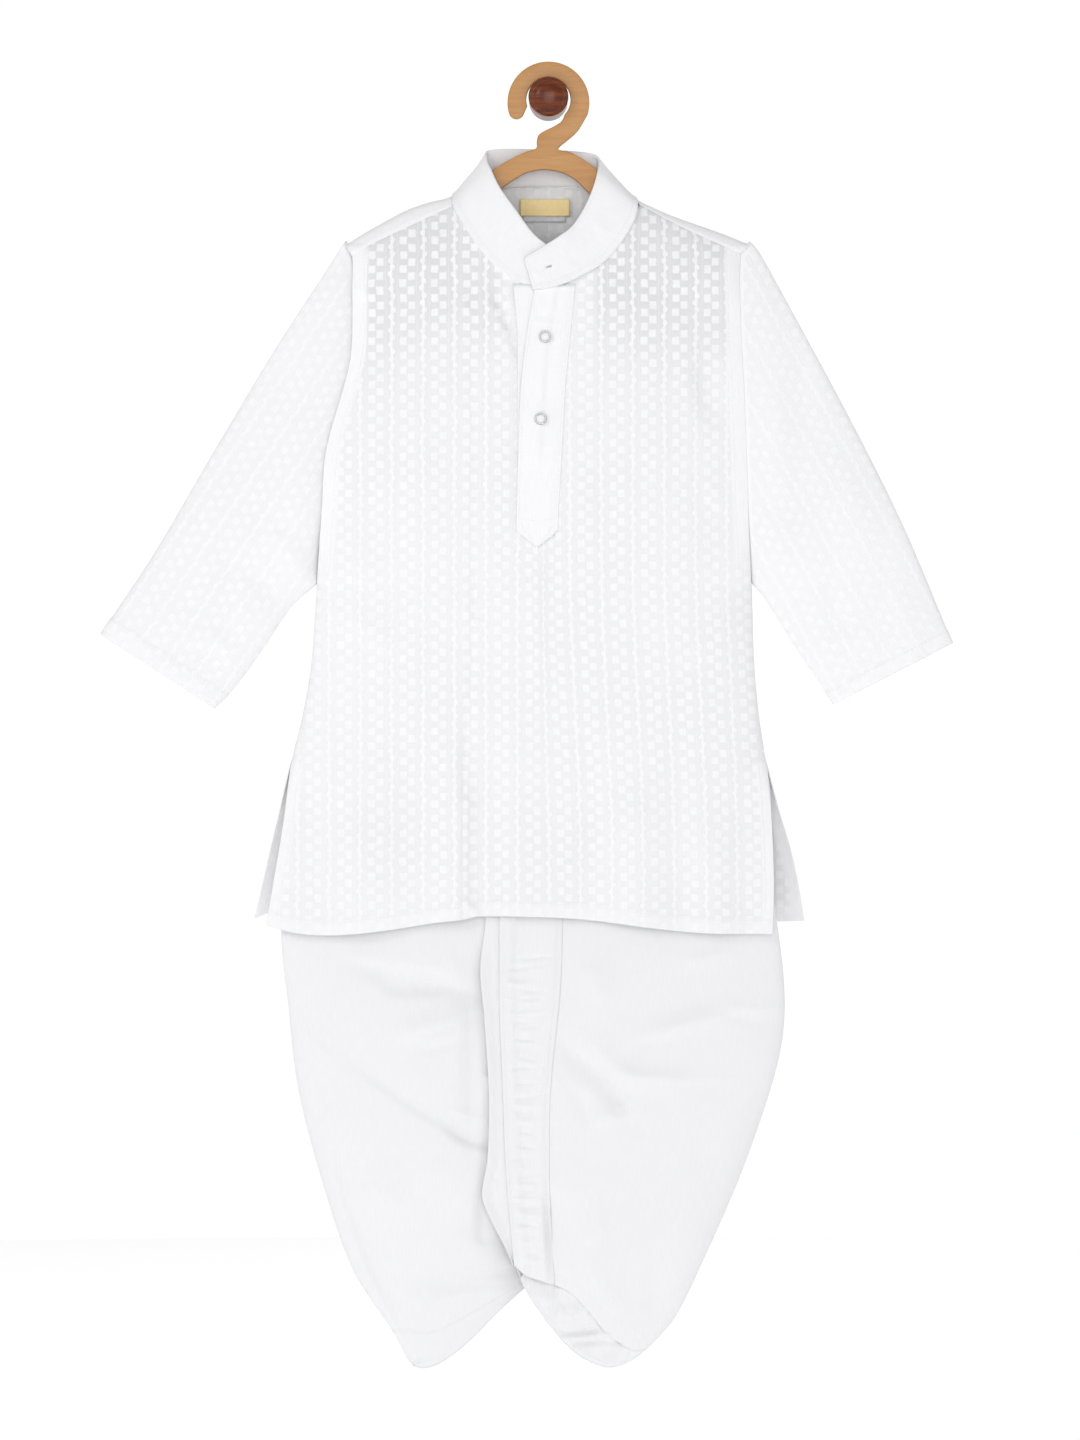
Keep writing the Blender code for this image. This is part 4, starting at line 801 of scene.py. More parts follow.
def back_surface(u, v):
    """Outside of the back panel, under the yoke."""
    s = lerp(u, 0.5 - 0.5 * math.cos(math.pi * u), 0.8)
    top = along(YOKE, "foot_x", "foot_z", lerp(YOKE[0].foot_x, YOKE[-1].foot_x, s)) - SEAM
    bottom = along(BACK_HEM, "x", "z", lerp(BACK_HEM[0].x, BACK_HEM[-1].x, s))
    z = lerp(top, bottom, v)
    edge_left, edge_right = body_edges(z, True)
    return back_point(lerp(edge_left, edge_right, s), z)


def yoke_surface(u, v):
    """Outside of the yoke, from the front seam at v = 0 over the ridge to the back seam."""

    def column(name):
        """One of the yoke's lines at this column."""
        return along(YOKE, "u", name, u, smooth=False)

    if v < YOKE_RIDGE:
        share = (1 - v / YOKE_RIDGE) ** 2
        top_x, seam_x = column("ridge_x"), column("seam_x")
        x = lerp(top_x, seam_x, share)
        z = lerp(ridge(top_x), front_top(seam_x), share)
        return Vector((x, MID_Y - half_depth(x, z, False), z))
    nape_x, nape_z = column("nape_x"), column("nape_z")
    if v < YOKE_NAPE:
        share = ((v - YOKE_RIDGE) / (YOKE_NAPE - YOKE_RIDGE)) ** 2
        top_x = column("ridge_x")
        x = lerp(top_x, nape_x, share)
        z = lerp(ridge(top_x), nape_z, share)
    else:
        share = (v - YOKE_NAPE) / (1 - YOKE_NAPE)
        x = lerp(nape_x, column("foot_x"), share)
        z = lerp(nape_z, column("foot_z"), share)
    return Vector((x, MID_Y + half_depth(x, z, True), z))


def on_yoke(u, v):
    """True outside the open neck."""
    return not (YOKE_NECK[0] < u < YOKE_NECK[1] and v < YOKE_NAPE)


def sleeve_maker(rows, side):
    """Outside of one sleeve: u runs round it and v from the armhole to the cuff."""
    left_side = side < 0

    def surface(u, v):
        """One point of the sleeve."""
        angle = math.tau * u
        c = 0.5 - 0.5 * math.cos(angle)
        front = math.sin(angle) > 0
        loop = loop_share(c)
        top = spot_on(rows, "t", "top", v)
        under = spot_on(rows, "t", "under", v)
        x = lerp(top[0], under[0], c)
        z = lerp(top[1], under[1], c)
        seam_z = lerp(rows[0].top_z, rows[0].under_z, c)
        seam_x = body_edges(seam_z, False)[0 if left_side else 1] + side * ARMHOLE_GAP
        near = (1 - v) ** 4
        seam_x += side * ARMHOLE_GAP * (1 - ease(c / 0.12))
        x += (seam_x - lerp(rows[0].top_x, rows[0].under_x, c)) * near
        half = along(rows, "t", "half", v) * loop
        if left_side and front:
            proud = PROUD_HALF * loop - TUCK_STEP * ease(loop / 0.5)
            half = lerp(half, proud, near)
            x += TUCK_REACH * ease((loop - 0.62) / 0.3) * near
        return Vector((x, MID_Y - half if front else MID_Y + half, z))

    return surface


def collar_surface(u, v):
    """Outside of the band collar: v runs from its top edge down to the neck seam."""
    top = Vector([along(COLLAR, "u", "top_" + axis, u) for axis in "xyz"])
    foot = Vector([along(COLLAR, "u", "foot_" + axis, u) for axis in "xyz"])
    return top.lerp(foot, v * COLLAR_SEAM)


def strip_edges(rows, z):
    """Left and right edge of a strip at one height."""
    return along(rows, "z", "left", z), along(rows, "z", "right", z)


def strip_maker(rows, place, tip=None):
    """Surface of a strip on the cloth, u across it and v down it."""
    top = rows[0].z
    bottom = rows[-1].z

    def surface(u, v):
        """One point of the strip."""
        z = lerp(top, bottom, v)
        x = lerp(*strip_edges(rows, z), u)
        if tip:
            blunt = 1 - abs(2 * u - 1)
            z = lerp(z, lerp(bottom, tip[1], blunt), ease((v - 0.9) / 0.1))
        return place(x, z)

    return surface


def below_neck(x, z):
    """The height z, or that of the neckline's edge where z is above it."""
    return min(z, front_top(min(max(x, NECKLINE[4].x), NECKLINE[7].x)) - 2 * SEAM)


def placket_place(x, z):
    """Where the upper placket lies: over the under strip on the left, on the front at the right."""
    z = below_neck(x, z)
    under = along(PLACKET_UNDER, "z", "right", z)
    still_there = 1 - ease((PLACKET_UNDER[-1].z - z - 2) / 14)
    ramp = 1 - ease((x - under - 1.5) / 5)
    lift = SEAM + TRIM_WALL + (TRIM_WALL + SEAM) * ramp * still_there
    point = front_point(x, z)
    point.y -= lift
    return point


def under_place(x, z):
    """Where the under strip lies, on the front."""
    point = front_point(x, below_neck(x, z))
    point.y -= SEAM + TRIM_WALL
    return point


def leg_maker(rows, hem, side):
    """Outside of one leg: u runs from the centre front round the outer side to the centre back."""

    def surface(u, v, closing=True):
        """One point of the leg, its inseam closed towards the hem where closing is true."""
        phi = (2 * u - 1) * math.pi / 2
        back = phi > 0
        c = 1 - math.cos(phi)
        outer = spot_on(rows, "v", "outer", v)
        inner = spot_on(rows, "v", "inner", v)
        hem_x, hem_z = spot_on(hem, "c", "back" if back else "front", c)
        drop = v ** 14
        x = lerp(outer[0], inner[0] + side * SEAM / 2, c)
        z = lerp(outer[1], inner[1], c)
        x += drop * (hem_x - lerp(rows[-1].outer_x, rows[-1].inner_x, c))
        z += drop * (hem_z - lerp(rows[-1].outer_z, rows[-1].inner_z, c))
        half = along(rows, "v", "half", v) * abs(math.sin(phi)) ** LEG_POWER
        if closing:
            shut = ease((v - CLOSE_FROM) / (CLOSE_TO - CLOSE_FROM))
            half *= 1 - shut * c ** 8
        if not back:
            half += fold_height(LEG_FOLDS, x, z) * abs(math.sin(phi))
        half += SEAM / 2
        mid = MID_Y + along(rows, "v", "shift", v)
        return Vector((x, mid + half if back else mid - half, z))

    return surface


def centre_place(x, v):
    """Point on the front of the dhoti beside its centre line, v down the leg."""
    right = leg_maker(LEG_RIGHT, HEM_RIGHT, 1)
    outer = along(LEG_RIGHT, "v", "outer_x", v)
    inner = along(LEG_RIGHT, "v", "inner_x", v)
    c = min((x - outer) / (inner - outer), 1)
    point = right(0.5 - math.acos(1 - c) / math.pi, v, False)
    for _ in range(4):
        c = min(max(c + (point.x - x) / (outer - inner), 0), 1)
        point = right(0.5 - math.acos(1 - c) / math.pi, v, False)
    point.x = x
    return point


def centre_share(z):
    """Share down the leg at which its centre line is at height z."""
    return along(LEG_RIGHT, "inner_z", "v", z)


class NodeMaker:
    """Short calls that add and join nodes in one tree."""

    def __init__(self, tree):
        self.tree = tree

    def add(self, kind, *fed, **values):
        """Adds a node with these settings, its first inputs fed."""
        node = self.tree.nodes.new(kind)
        for key, value in values.items():
            setattr(node, key, value)
        for socket, value in zip(node.inputs, fed):
            self.feed(socket, value)
        return node

    def feed(self, socket, value):
        """Joins a socket to another, or sets its value."""
        if isinstance(value, bpy.types.NodeSocket):
            self.tree.links.new(value, socket)
        else:
            socket.default_value = value

    def sum(self, operation, *values):
        """Math node of one operation."""
        return self.add("ShaderNodeMath", *values, operation=operation).outputs[0]

    def soft(self, value, low, high, start=0, end=1, way="SMOOTHSTEP"):
        """Smooth change from start to end as a value goes from low to high."""
        fed = value, low, high, start, end
        return self.add("ShaderNodeMapRange", *fed, interpolation_type=way).outputs[0]

    def blend(self, share, first, second):
        """Colour between two colours."""
        node = self.add("ShaderNodeMix", share, data_type="RGBA")
        self.feed(node.inputs[6], first)
        self.feed(node.inputs[7], second)
        return node.outputs[2]

    def parted(self, vector):
        """The three numbers of a vector."""
        return self.add("ShaderNodeSeparateXYZ", vector).outputs


class FinishMaker(NodeMaker):
    """A material in the making: its nodes and its shader."""

    def __init__(self, name, roughness, metallic=0, **sockets):
        self.material = bpy.data.materials.new(name)
        self.material.use_nodes = True
        super().__init__(self.material.node_tree)
        self.shader = self.tree.nodes["Principled BSDF"]
        self.shader.inputs["Roughness"].default_value = roughness
        self.shader.inputs["Metallic"].default_value = metallic
        for socket, value in sockets.items():
            self.shader.inputs[socket.replace("_", " ")].default_value = value

    def place(self):
        """Object coordinates."""
        return self.add("ShaderNodeTexCoord").outputs["Object"]

    def flat(self):
        """The cloth's own flat map, in millimetres across and down."""
        places = self.add("ShaderNodeUVMap", uv_map="cloth").outputs[0]
        scaled = self.add("ShaderNodeVectorMath", places, operation="SCALE")
        scaled.inputs["Scale"].default_value = 1 / MM
        return scaled.outputs[0]

    def cloud(self, vector, scale, stretch=(1, 1, 1), detail=3):
        """Noise over a vector, stretched along its axes."""
        spread = self.add("ShaderNodeMapping", vector)
        spread.inputs["Scale"].default_value = stretch
        node = self.add("ShaderNodeTexNoise", spread.outputs[0])
        node.inputs["Scale"].default_value = scale
        node.inputs["Detail"].default_value = detail
        return node.outputs[0]

    def raise_by(self, height, depth):
        """Bump of the given depth in metres."""
        node = self.add("ShaderNodeBump")
        node.inputs["Distance"].default_value = depth
        self.feed(node.inputs["Height"], height)
        self.feed(self.shader.inputs["Normal"], node.outputs[0])

    def colour(self, value):
        """Sets the base colour."""
        self.feed(self.shader.inputs["Base Color"], value)


def opaque(colour):
    """Colour with full alpha."""
    return (*colour, 1)


def weave_height(maker, flat, pitch):
    """Fine over and under of plain cloth, 0 to 1."""
    waves = [
        maker.sum("SINE", maker.sum("MULTIPLY", run, math.tau / pitch))
        for run in maker.parted(flat)[:2]
    ]
    return maker.sum("MULTIPLY_ADD", maker.sum("MULTIPLY", *waves), 0.5, 0.5)


def dobby_figure(maker, flat):
    """The woven figure, 0 on the ground and 1 on the raised threads."""
    dobby = settings().dobby
    across, down, _ = maker.parted(flat)
    drift = maker.sum("MULTIPLY_ADD", maker.cloud(flat, 0.05, detail=1), 2, -1)
    fray = maker.sum("MULTIPLY_ADD", maker.cloud(flat, 0.8, detail=1), 1.3, -0.65)
    stray = maker.sum("ADD", drift, fray)
    across = maker.sum("ADD", across, stray)
    down = maker.sum("SUBTRACT", down, stray)
    repeat = dobby.repeat / MM
    turn = maker.sum("FRACT", maker.sum("MULTIPLY_ADD", across, 1 / repeat, FIGURE_SET))
    beside = maker.sum("MULTIPLY", maker.sum("SUBTRACT", turn, 0.5), repeat)
    distance = maker.sum("ABSOLUTE", beside)

    pitch = dobby.chain_pitch / MM
    wave = maker.sum("SINE", maker.sum("MULTIPLY", down, math.pi / pitch))
    weave = maker.sum("ABSOLUTE", maker.sum("MULTIPLY_ADD", wave, 0.75, beside))
    half = maker.sum("MULTIPLY_ADD", maker.sum("ABSOLUTE", wave), 1.15, 0.8)
    chain = maker.soft(maker.sum("SUBTRACT", half, weave), -0.25, 0.45)

    step = dobby.square_pitch / MM
    right = maker.sum("MULTIPLY", maker.sum("GREATER_THAN", beside, 0), 0.5)
    stage = maker.sum("FRACT", maker.sum("MULTIPLY_ADD", down, 1 / step, right))
    up = maker.sum("MULTIPLY", maker.sum("ABSOLUTE", maker.sum("SUBTRACT", stage, 0.5)), step)
    off = maker.sum("ABSOLUTE", maker.sum("SUBTRACT", distance, repeat / 2 - 2.95))
    wide = maker.soft(off, 3, 1.9)
    tall = maker.soft(up, 3.3, 2.2)
    square = maker.sum("MULTIPLY", wide, tall)

    beside_chain = maker.sum("ABSOLUTE", maker.sum("SUBTRACT", distance, 4.2))
    line = maker.soft(beside_chain, 0.55, 0.15, 0, 0.3)
    figure = maker.sum("MAXIMUM", maker.sum("MAXIMUM", chain, square), line)
    return maker.sum("MULTIPLY", figure, maker.soft(maker.cloud(flat, 0.11), 0.25, 0.6, 0.72, 1))


def cotton_finish(name, colour, figured=False, pitch=0.45):
    """White cotton: fine weave, faint slubs and, where figured, the woven columns."""
    look = settings()
    maker = FinishMaker(name, look.cloth_roughness, Sheen_Weight=0.12, Sheen_Roughness=0.5)
    flat = maker.flat()
    slub = maker.cloud(flat, 0.9, (1, 0.12, 1))
    cloudy = maker.cloud(maker.place(), 9, detail=2)
    dull = tuple(part * 0.97 for part in colour)
    shade = maker.blend(maker.soft(slub, 0.35, 0.72), opaque(dull), opaque(colour))
    weave = weave_height(maker, flat, pitch)
    if not figured:
        maker.colour(maker.blend(maker.soft(cloudy, 0.3, 0.7, 0, 0.35), shade, opaque(dull)))
        maker.raise_by(maker.sum("MULTIPLY_ADD", slub, 0.6, weave), 0.00003)
        return maker.material
    # Painted shade: the ground turns greyer in a band at shoulder height, between the neck and the
    # armholes. It stands for the darker layers seen through the sheer cloth there.
    across, _, height = maker.parted(maker.place())
    beside = maker.sum("ABSOLUTE", across)
    body = maker.sum(
        "MULTIPLY", maker.soft(beside, 0.026, 0.040), maker.soft(beside, 0.128, 0.140, 1, 0))
    upper = maker.sum("MULTIPLY", maker.soft(height, -0.225, -0.120), body)
    ground = maker.blend(upper, opaque(look.dobby.ground), opaque(look.dobby.shoulder_shade_ground))
    lit = maker.blend(maker.soft(cloudy, 0.35, 0.7, 0, 0.3), ground, opaque(colour))
    figure = dobby_figure(maker, flat)
    bare = maker.add("ShaderNodeAttribute", attribute_name="plain").outputs["Fac"]
    maker.colour(maker.blend(maker.sum("MAXIMUM", figure, bare), lit, shade))
    figure = maker.sum("MULTIPLY", figure, maker.sum("SUBTRACT", 1, bare))
    raised = maker.sum("MULTIPLY_ADD", figure, 5, weave)
    maker.raise_by(raised, 0.00003)
    return maker.material


def thread_finish():
    """White sewing thread with a little gloss."""
    maker = FinishMaker("sewing_thread", 0.45)
    twist = maker.cloud(maker.place(), 1400)
    maker.colour(maker.blend(twist, opaque((0.70, 0.70, 0.71)), opaque((0.84, 0.84, 0.85))))
    maker.raise_by(twist, 0.00002)
    return maker.material


def satin_finish(name, colour, dark):
    """Ribbed label satin, bare of any text."""
    maker = FinishMaker(name, 0.38, Sheen_Weight=0.3)
    down = maker.parted(maker.flat())[1]
    rib = maker.sum("SINE", maker.sum("MULTIPLY", down, math.tau / 0.55))
    cloudy = maker.cloud(maker.flat(), 0.35)
    mixed = maker.sum("MULTIPLY_ADD", rib, 0.18, cloudy)
    maker.colour(maker.blend(maker.soft(mixed, 0.2, 0.85), opaque(dark), opaque(colour)))
    maker.raise_by(rib, 0.00004)
    return maker.material


def board_finish():
    """Varnished plywood: long grain on its faces and layers along its cut edge."""
    wood = settings().wood
    maker = FinishMaker("hanger_board", 0.42, Coat_Weight=0.15, Coat_Roughness=0.25)
    place = maker.place()
    grain = maker.cloud(place, 34, (1, 1, 9), 6)
    fine = maker.cloud(place, 260, (0.25, 1, 5), 4)
    mixed = maker.sum("MULTIPLY_ADD", fine, 0.45, maker.sum("MULTIPLY", grain, 0.75))
    face = maker.blend(maker.soft(mixed, 0.40, 0.80), opaque(wood.board_light), opaque(wood.board))
    depth = maker.parted(place)[1]
    ply = maker.sum("FRACT", maker.sum("MULTIPLY", depth, 1 / wood.ply))
    layer = maker.soft(maker.sum("ABSOLUTE", maker.sum("SUBTRACT", ply, 0.5)), 0.14, 0.26)
    cut = maker.blend(layer, opaque(wood.board_edge), opaque(wood.board))
    front = maker.parted(maker.add("ShaderNodeNewGeometry").outputs["Normal"])[1]
    on_face = maker.soft(maker.sum("ABSOLUTE", front), 0.35, 0.8)
    maker.colour(maker.blend(on_face, cut, face))
    maker.raise_by(mixed, 0.00012)
    return maker.material


def knob_finish():
    """Glossy dark red-brown turned wood."""
    wood = settings().wood
    maker = FinishMaker("knob_lacquer", 0.34, Coat_Weight=0.12, Coat_Roughness=0.08)
    maker.shader.inputs["Specular IOR Level"].default_value = 0.25
    grain = maker.cloud(maker.place(), 60, (1, 0.3, 6), 5)
    shade = maker.soft(grain, 0.35, 0.7)
    maker.colour(maker.blend(shade, opaque(wood.knob), opaque(wood.knob_light)))
    maker.raise_by(grain, 0.00015)
    return maker.material


def metal_finish():
    """Satin grey pressed metal with fine turning marks."""
    maker = FinishMaker("snap_ring_metal", 0.34, 0.9)
    wear = maker.cloud(maker.place(), 900)
    maker.colour(maker.blend(wear, opaque((0.30, 0.30, 0.32)), opaque((0.55, 0.55, 0.58))))
    maker.raise_by(wear, 0.00003)
    return maker.material


def speck_finish(name, colour, roughness):
    """Small smooth part with a faint unevenness."""
    maker = FinishMaker(name, roughness)
    cloudy = maker.cloud(maker.place(), 700)
    dull = tuple(part * 0.85 for part in colour)
    maker.colour(maker.blend(cloudy, opaque(dull), opaque(colour)))
    maker.raise_by(cloudy, 0.00002)
    return maker.material


FINISHES = {}


def finish(name):
    """The finish of this name, made when it is first asked for."""
    look = settings()
    makers = {
        "dobby": lambda: cotton_finish("dobby_cotton", look.white, True),
        "plain": lambda: cotton_finish("plain_cotton", look.white, pitch=0.4),
        "dhoti": lambda: cotton_finish("dhoti_cotton", look.dhoti_white, pitch=0.6),
        "thread": thread_finish,
        "gold": lambda: satin_finish("gold_satin", (0.99, 0.80, 0.42), (0.92, 0.71, 0.31)),
        "tape": lambda: satin_finish("white_tape", (0.80, 0.80, 0.80), (0.66, 0.66, 0.68)),
        "board": board_finish,
        "knob": knob_finish,
        "metal": metal_finish,
        "cap": lambda: speck_finish("snap_centre", (0.80, 0.80, 0.80), 0.35),
        "slit": lambda: speck_finish("buttonhole_shade", (0.42, 0.42, 0.43), 0.9),
    }
    if name not in FINISHES:
        FINISHES[name] = makers[name]()
    return FINISHES[name]


def side_distances(x):
    """Distance of each place from the sheet's left and right edge in its own row."""
    return np.minimum(x - x[:, :1], x[:, -1:] - x)


def panel_rise(creases, seed, swell):
    """Relief of a body panel: creases, swell, turned hem and turned slit edges."""

    def rise(x, z, u, v):
        """Height at an array of places."""
        total = crease_heights(creases, x, z)
        total += ripple(x, z, 46, 90, swell, seed)
        total += turned_edge(z - z[-1:], KURTA_HEM)
        below = smooth_steps((SLIT_Z - z) / 8)
        total += turned_edge(side_distances(x), SLIT_HEM) * below
        return total * smooth_steps(v / 0.012)

    return rise


def panel_plain(x, z, u, v):
    """Facing beside the armholes and turned edges, where the figure doesn't show."""
    beside = 1 - smooth_steps((side_distances(x) - PLAIN_STRIP) / 1.5)
    arm = beside * smooth_steps((z - ARMPIT_Z) / 30)
    hem = 0.55 * (1 - smooth_steps((z - z[-1:] - KURTA_HEM) / 1))
    slit = 1 - smooth_steps((side_distances(x) - SLIT_HEM) / 1.5)
    slit *= 0.8 * smooth_steps((SLIT_Z - z) / 8)
    return np.maximum(np.maximum(arm, hem), slit)


def front_flat(x, z, u, v):
    """Flat map of the front, its figure set over on the right of the placket."""
    fade = smooth_steps((z - SHIFT_FADE[1]) / (SHIFT_FADE[0] - SHIFT_FADE[1]))
    shift = SHIFT * fade * smooth_steps((x + 12) / 16)
    return np.stack([x + shift, z], axis=-1) * MM


def make_body():
    """Front, back and yoke of the kurta."""
    finer = (0, 0.012, 4), (0.968, 1, 14)
    front_across = shares(138, (0, 0.05, 12), (0.95, 1, 12), (0.36, 0.48, 26))
    back_across = shares(110, (0, 0.05, 10), (0.95, 1, 10))
    front, back = [
        make_sheet(
            f"kurta_{word}_cloth", surface, side, across, shares(count, *finer), rise, flat,
            "dobby", "dobby_cotton", [f"kurta_{word}"], plain=panel_plain, start=(3, 0.8),
        )
        for word, surface, side, across, count, rise, flat in (
            ("front", front_surface, -1, front_across, 180,
             panel_rise(FRONT_CREASES, 1, 0.7), front_flat),
            ("back", back_surface, 1, back_across, 150,
             panel_rise(BACK_CREASES, 5, 0.8), on_front),
        )
    ]

    def yoke_rise(x, z, u, v):
        """The front seam's allowance stands a little proud."""
        seam = 0.3 * (1 - smooth_steps((v - 0.16) / 0.05)) * smooth_steps(v / 0.03)
        return seam + ripple(x, z, 30, 30, 0.25, 9)

    def yoke_plain(x, z, u, v):
        """The band in front of the ridge is cut plain."""
        return 1 - smooth_steps((v - 0.30) / 0.04)

    yoke = make_sheet(
        "kurta_yoke_cloth", yoke_surface, 1, shares(100), shares(50), yoke_rise, on_front,
        "dobby", "dobby_cotton", ["kurta_yoke"], plain=yoke_plain, keep=on_yoke,
        start=(3, 0.9), end=(3, 0.9),
    )


def to_end(x, z):
    """Distance of each place from the lower end of its column."""
    steps = np.hypot(np.diff(x, axis=0), np.diff(z, axis=0))
    run = np.concatenate([np.zeros_like(x[:1]), np.cumsum(steps, axis=0)])
    return run[-1:] - run


def sleeve_rise(creases, hem, seed):
    """Relief of a sleeve: creases in front, the same mirrored and lower behind, and the hem."""

    def rise(x, z, u, v):
        """Height at an array of places."""
        angle = math.tau * u
        turned = np.abs(np.sin(angle)) ** 0.6
        before = crease_heights(creases, x, z)
        behind = -0.8 * crease_heights(creases, x, z + 9)
        total = np.where(u < 0.5, before, behind) * turned
        total += ripple(x, z, 34, 60, 0.5, seed) * turned
        total += turned_edge(to_end(x, z), hem)
        return total * smooth_steps(v / 0.02)

    return rise


def sleeve_plain(x, z, u, v):
    """Seam allowance and turned cuff; the sleeve's two layers show less of the figure."""
    seam = 1 - smooth_steps((v - 0.012) / 0.01)
    return np.maximum(np.maximum(seam, 0.7 * smooth_steps((v - 0.955) / 0.01)), 0.42)


def make_sleeves():
    """Two set-in sleeves."""
    sides = (
        ("left", SLEEVE_LEFT, -1, LEFT_SLEEVE_CREASES, LEFT_CUFF_HEM, 13),
        ("right", SLEEVE_RIGHT, 1, RIGHT_SLEEVE_CREASES, RIGHT_CUFF_HEM, 17),
    )
    for word, rows, side, creases, hem, seed in sides:
        first, last = rows[0], rows[-1]
        run_x = (last.top_x + last.under_x - first.top_x - first.under_x) / 2
        run_z = (last.top_z + last.under_z - first.top_z - first.under_z) / 2
        piece = make_sheet(
            f"sleeve_{word}_cloth", sleeve_maker(rows, side), side,
            shares(164, (0, 0.03, 8), (0.97, 1, 8), (0.47, 0.53, 14)),
            shares(110, (0, 0.02, 4), (0.93, 1, 16)),
            sleeve_rise(creases, hem, seed), on_axis(run_x, run_z),
            "dobby", "dobby_cotton", [f"sleeve_{word}"], plain=sleeve_plain, closed=True,
            start=(4, 1),
        )


def make_collar():
    """Stand-up band with its buttonhole."""

    def rise(x, z, u, v):
        """Rolled edges and soft dents."""
        edge = 0.25 * (np.exp(-((v / 0.05) ** 2)) + np.exp(-(((1 - v) / 0.05) ** 2)))
        ends = 0.25 * np.exp(-((u / 0.006) ** 2))
        return edge + ends + crease_heights(COLLAR_CREASES, x, z) + ripple(x, z, 22, 16, 0.35, 3)

    def flat(x, z, u, v):
        """Length round the neck and height of the band."""
        return np.stack([u * 0.33, v * 0.034], axis=-1)

    collar = make_sheet(
        "collar_band", collar_surface, -1, shares(200, (0, 0.02, 8)), shares(18), rise, flat,
        "plain", "plain_cotton", ["collar"], thick=COLLAR_SHELL, end=(2, -0.5),
    )
    start, end = BUTTONHOLE
    point, normal = seen_place("collar_band", (start.x + end.x) / 2, (start.z + end.z) / 2)
    along_slit = Vector((end.x - start.x, 0, end.z - start.z))
    # A dark bead paints the shade inside the buttonhole's cut.
    slit = bmesh.new()
    add_bead(slit, point, along_slit, normal, along_slit.length, 2 * BUTTONHOLE_HALF, 0.25)
    finish_piece("buttonhole_slit", slit, "slit", "plain_cotton", [])


def strip_rise(creases, width):
    """Relief of an applied strip: folded edges and its own creases."""

    def rise(x, z, u, v):
        """Height at an array of places."""
        edge = np.minimum(u, 1 - u) * width
        roll = 0.22 * np.exp(-((edge / 2.2) ** 2))
        return roll + crease_heights(creases, x, z) + ripple(x, z, 14, 24, 0.25, 21)

    return rise


def make_placket():
    """Upper and under strip of the placket, and its two ring snaps."""
    place = sewn_down(placket_place, PLACKET_UPPER, "kurta_front_cloth")
    upper = make_sheet(
        "placket_upper_cloth", strip_maker(PLACKET_UPPER, place, PLACKET_TIP), -1,
        shares(36), shares(120, (0.86, 1, 24)), strip_rise(PLACKET_CREASES, 30), on_front,
        "plain", "plain_cotton", ["placket_upper"], thick=TRIM_SHELL, start=(3, 0.2),
    )
    under = make_sheet(
        "placket_under_cloth", strip_maker(PLACKET_UNDER, under_place), -1, shares(16),
        shares(60), strip_rise((), 16), on_front, "plain", "plain_cotton",
        ["placket_under"], thick=TRIM_SHELL, start=(3, 0.2),
    )
    for number, snap in enumerate(SNAPS, start=1):
        seat = placket_place(snap.x, snap.z)
        seat.y -= SEAM
        inner = SNAP_RING_R - 1.1
        ring = (
            (-0.35, inner), (-0.35, SNAP_RING_R - 0.3), (0.1, SNAP_RING_R), (0.55, SNAP_RING_R),
            (0.9, SNAP_RING_R - 0.15), (SNAP_HEIGHT, SNAP_RING_R - 0.45),
            (SNAP_HEIGHT, inner + 0.3), (0.95, inner + 0.08), (0.6, inner), (-0.35, inner),
        )
        cap = (
            (-0.3, 0), (-0.3, inner), (0.5, inner), (0.72, inner - 0.3), (0.85, inner - 0.9),
            (0.95, 0.8), (0.97, 0),
        )
        turned(f"snap_ring_{number}_metal", ring, seat, 48, "metal", "snap_metal",
               [f"snap_ring_{number}"])
        turned(f"snap_cap_{number}_centre", cap, seat, 40, "cap", "snap_cap",
               [f"snap_cap_{number}"])


def turned(name, profile, place, sides, look, slot, replaced):
    """Turns a profile of distance out and radius, in millimetres, about a line along Y."""
    shape = bmesh.new()
    points = [shape.verts.new((radius, -out, 0)) for out, radius in profile]
    edges = [shape.edges.new(pair) for pair in zip(points, points[1:])]
    bmesh.ops.spin(
        shape, geom=points + edges, cent=(0, 0, 0), axis=(0, 1, 0),
        angle=math.tau, steps=sides, use_merge=True, use_duplicate=False,
    )
    bmesh.ops.remove_doubles(shape, verts=shape.verts[:], dist=TINY)
    bmesh.ops.recalc_face_normals(shape, faces=shape.faces[:])
    bmesh.ops.translate(shape, vec=place, verts=shape.verts[:])
    bmesh.ops.scale(shape, vec=(MM, MM, MM), verts=shape.verts[:])
    return finish_piece(name, shape, look, slot, replaced, smooth_angle=35)


def make_labels():
    """Blank gold satin label over a blank white one, inside the back neck."""

    def label_surface(label, gap):
        """Face of a label that looks into the neck."""

        def surface(u, v):
            """One point of the label's face."""
            x = lerp(label.left, label.right, u)
            z = lerp(label.top, label.bottom, v)
            return Vector((x, MID_Y + half_depth(x, z, True) - WALL - gap - TRIM_WALL, z))

        return surface

    def rise(x, z, u, v):
        """Free lower edge lifting a little between its sewn ends."""
        return 0.25 * np.sin(np.pi * u) * v ** 2 + ripple(x, z, 8, 6, 0.12, 31)

    rows = (
        ("size", SIZE_LABEL, LABEL_GAP, "tape", "label_tape"),
        ("neck", NECK_LABEL, LABEL_GAP + TRIM_WALL + SEAM, "gold", "label_satin"),
    )
    for word, label, gap, look, slot in rows:
        piece = make_sheet(
            f"{word}_label_blank", label_surface(label, gap), -1, shares(30), shares(14), rise,
            on_front, look, slot, [f"{word}_label"], thick=LABEL_SHELL,
        )


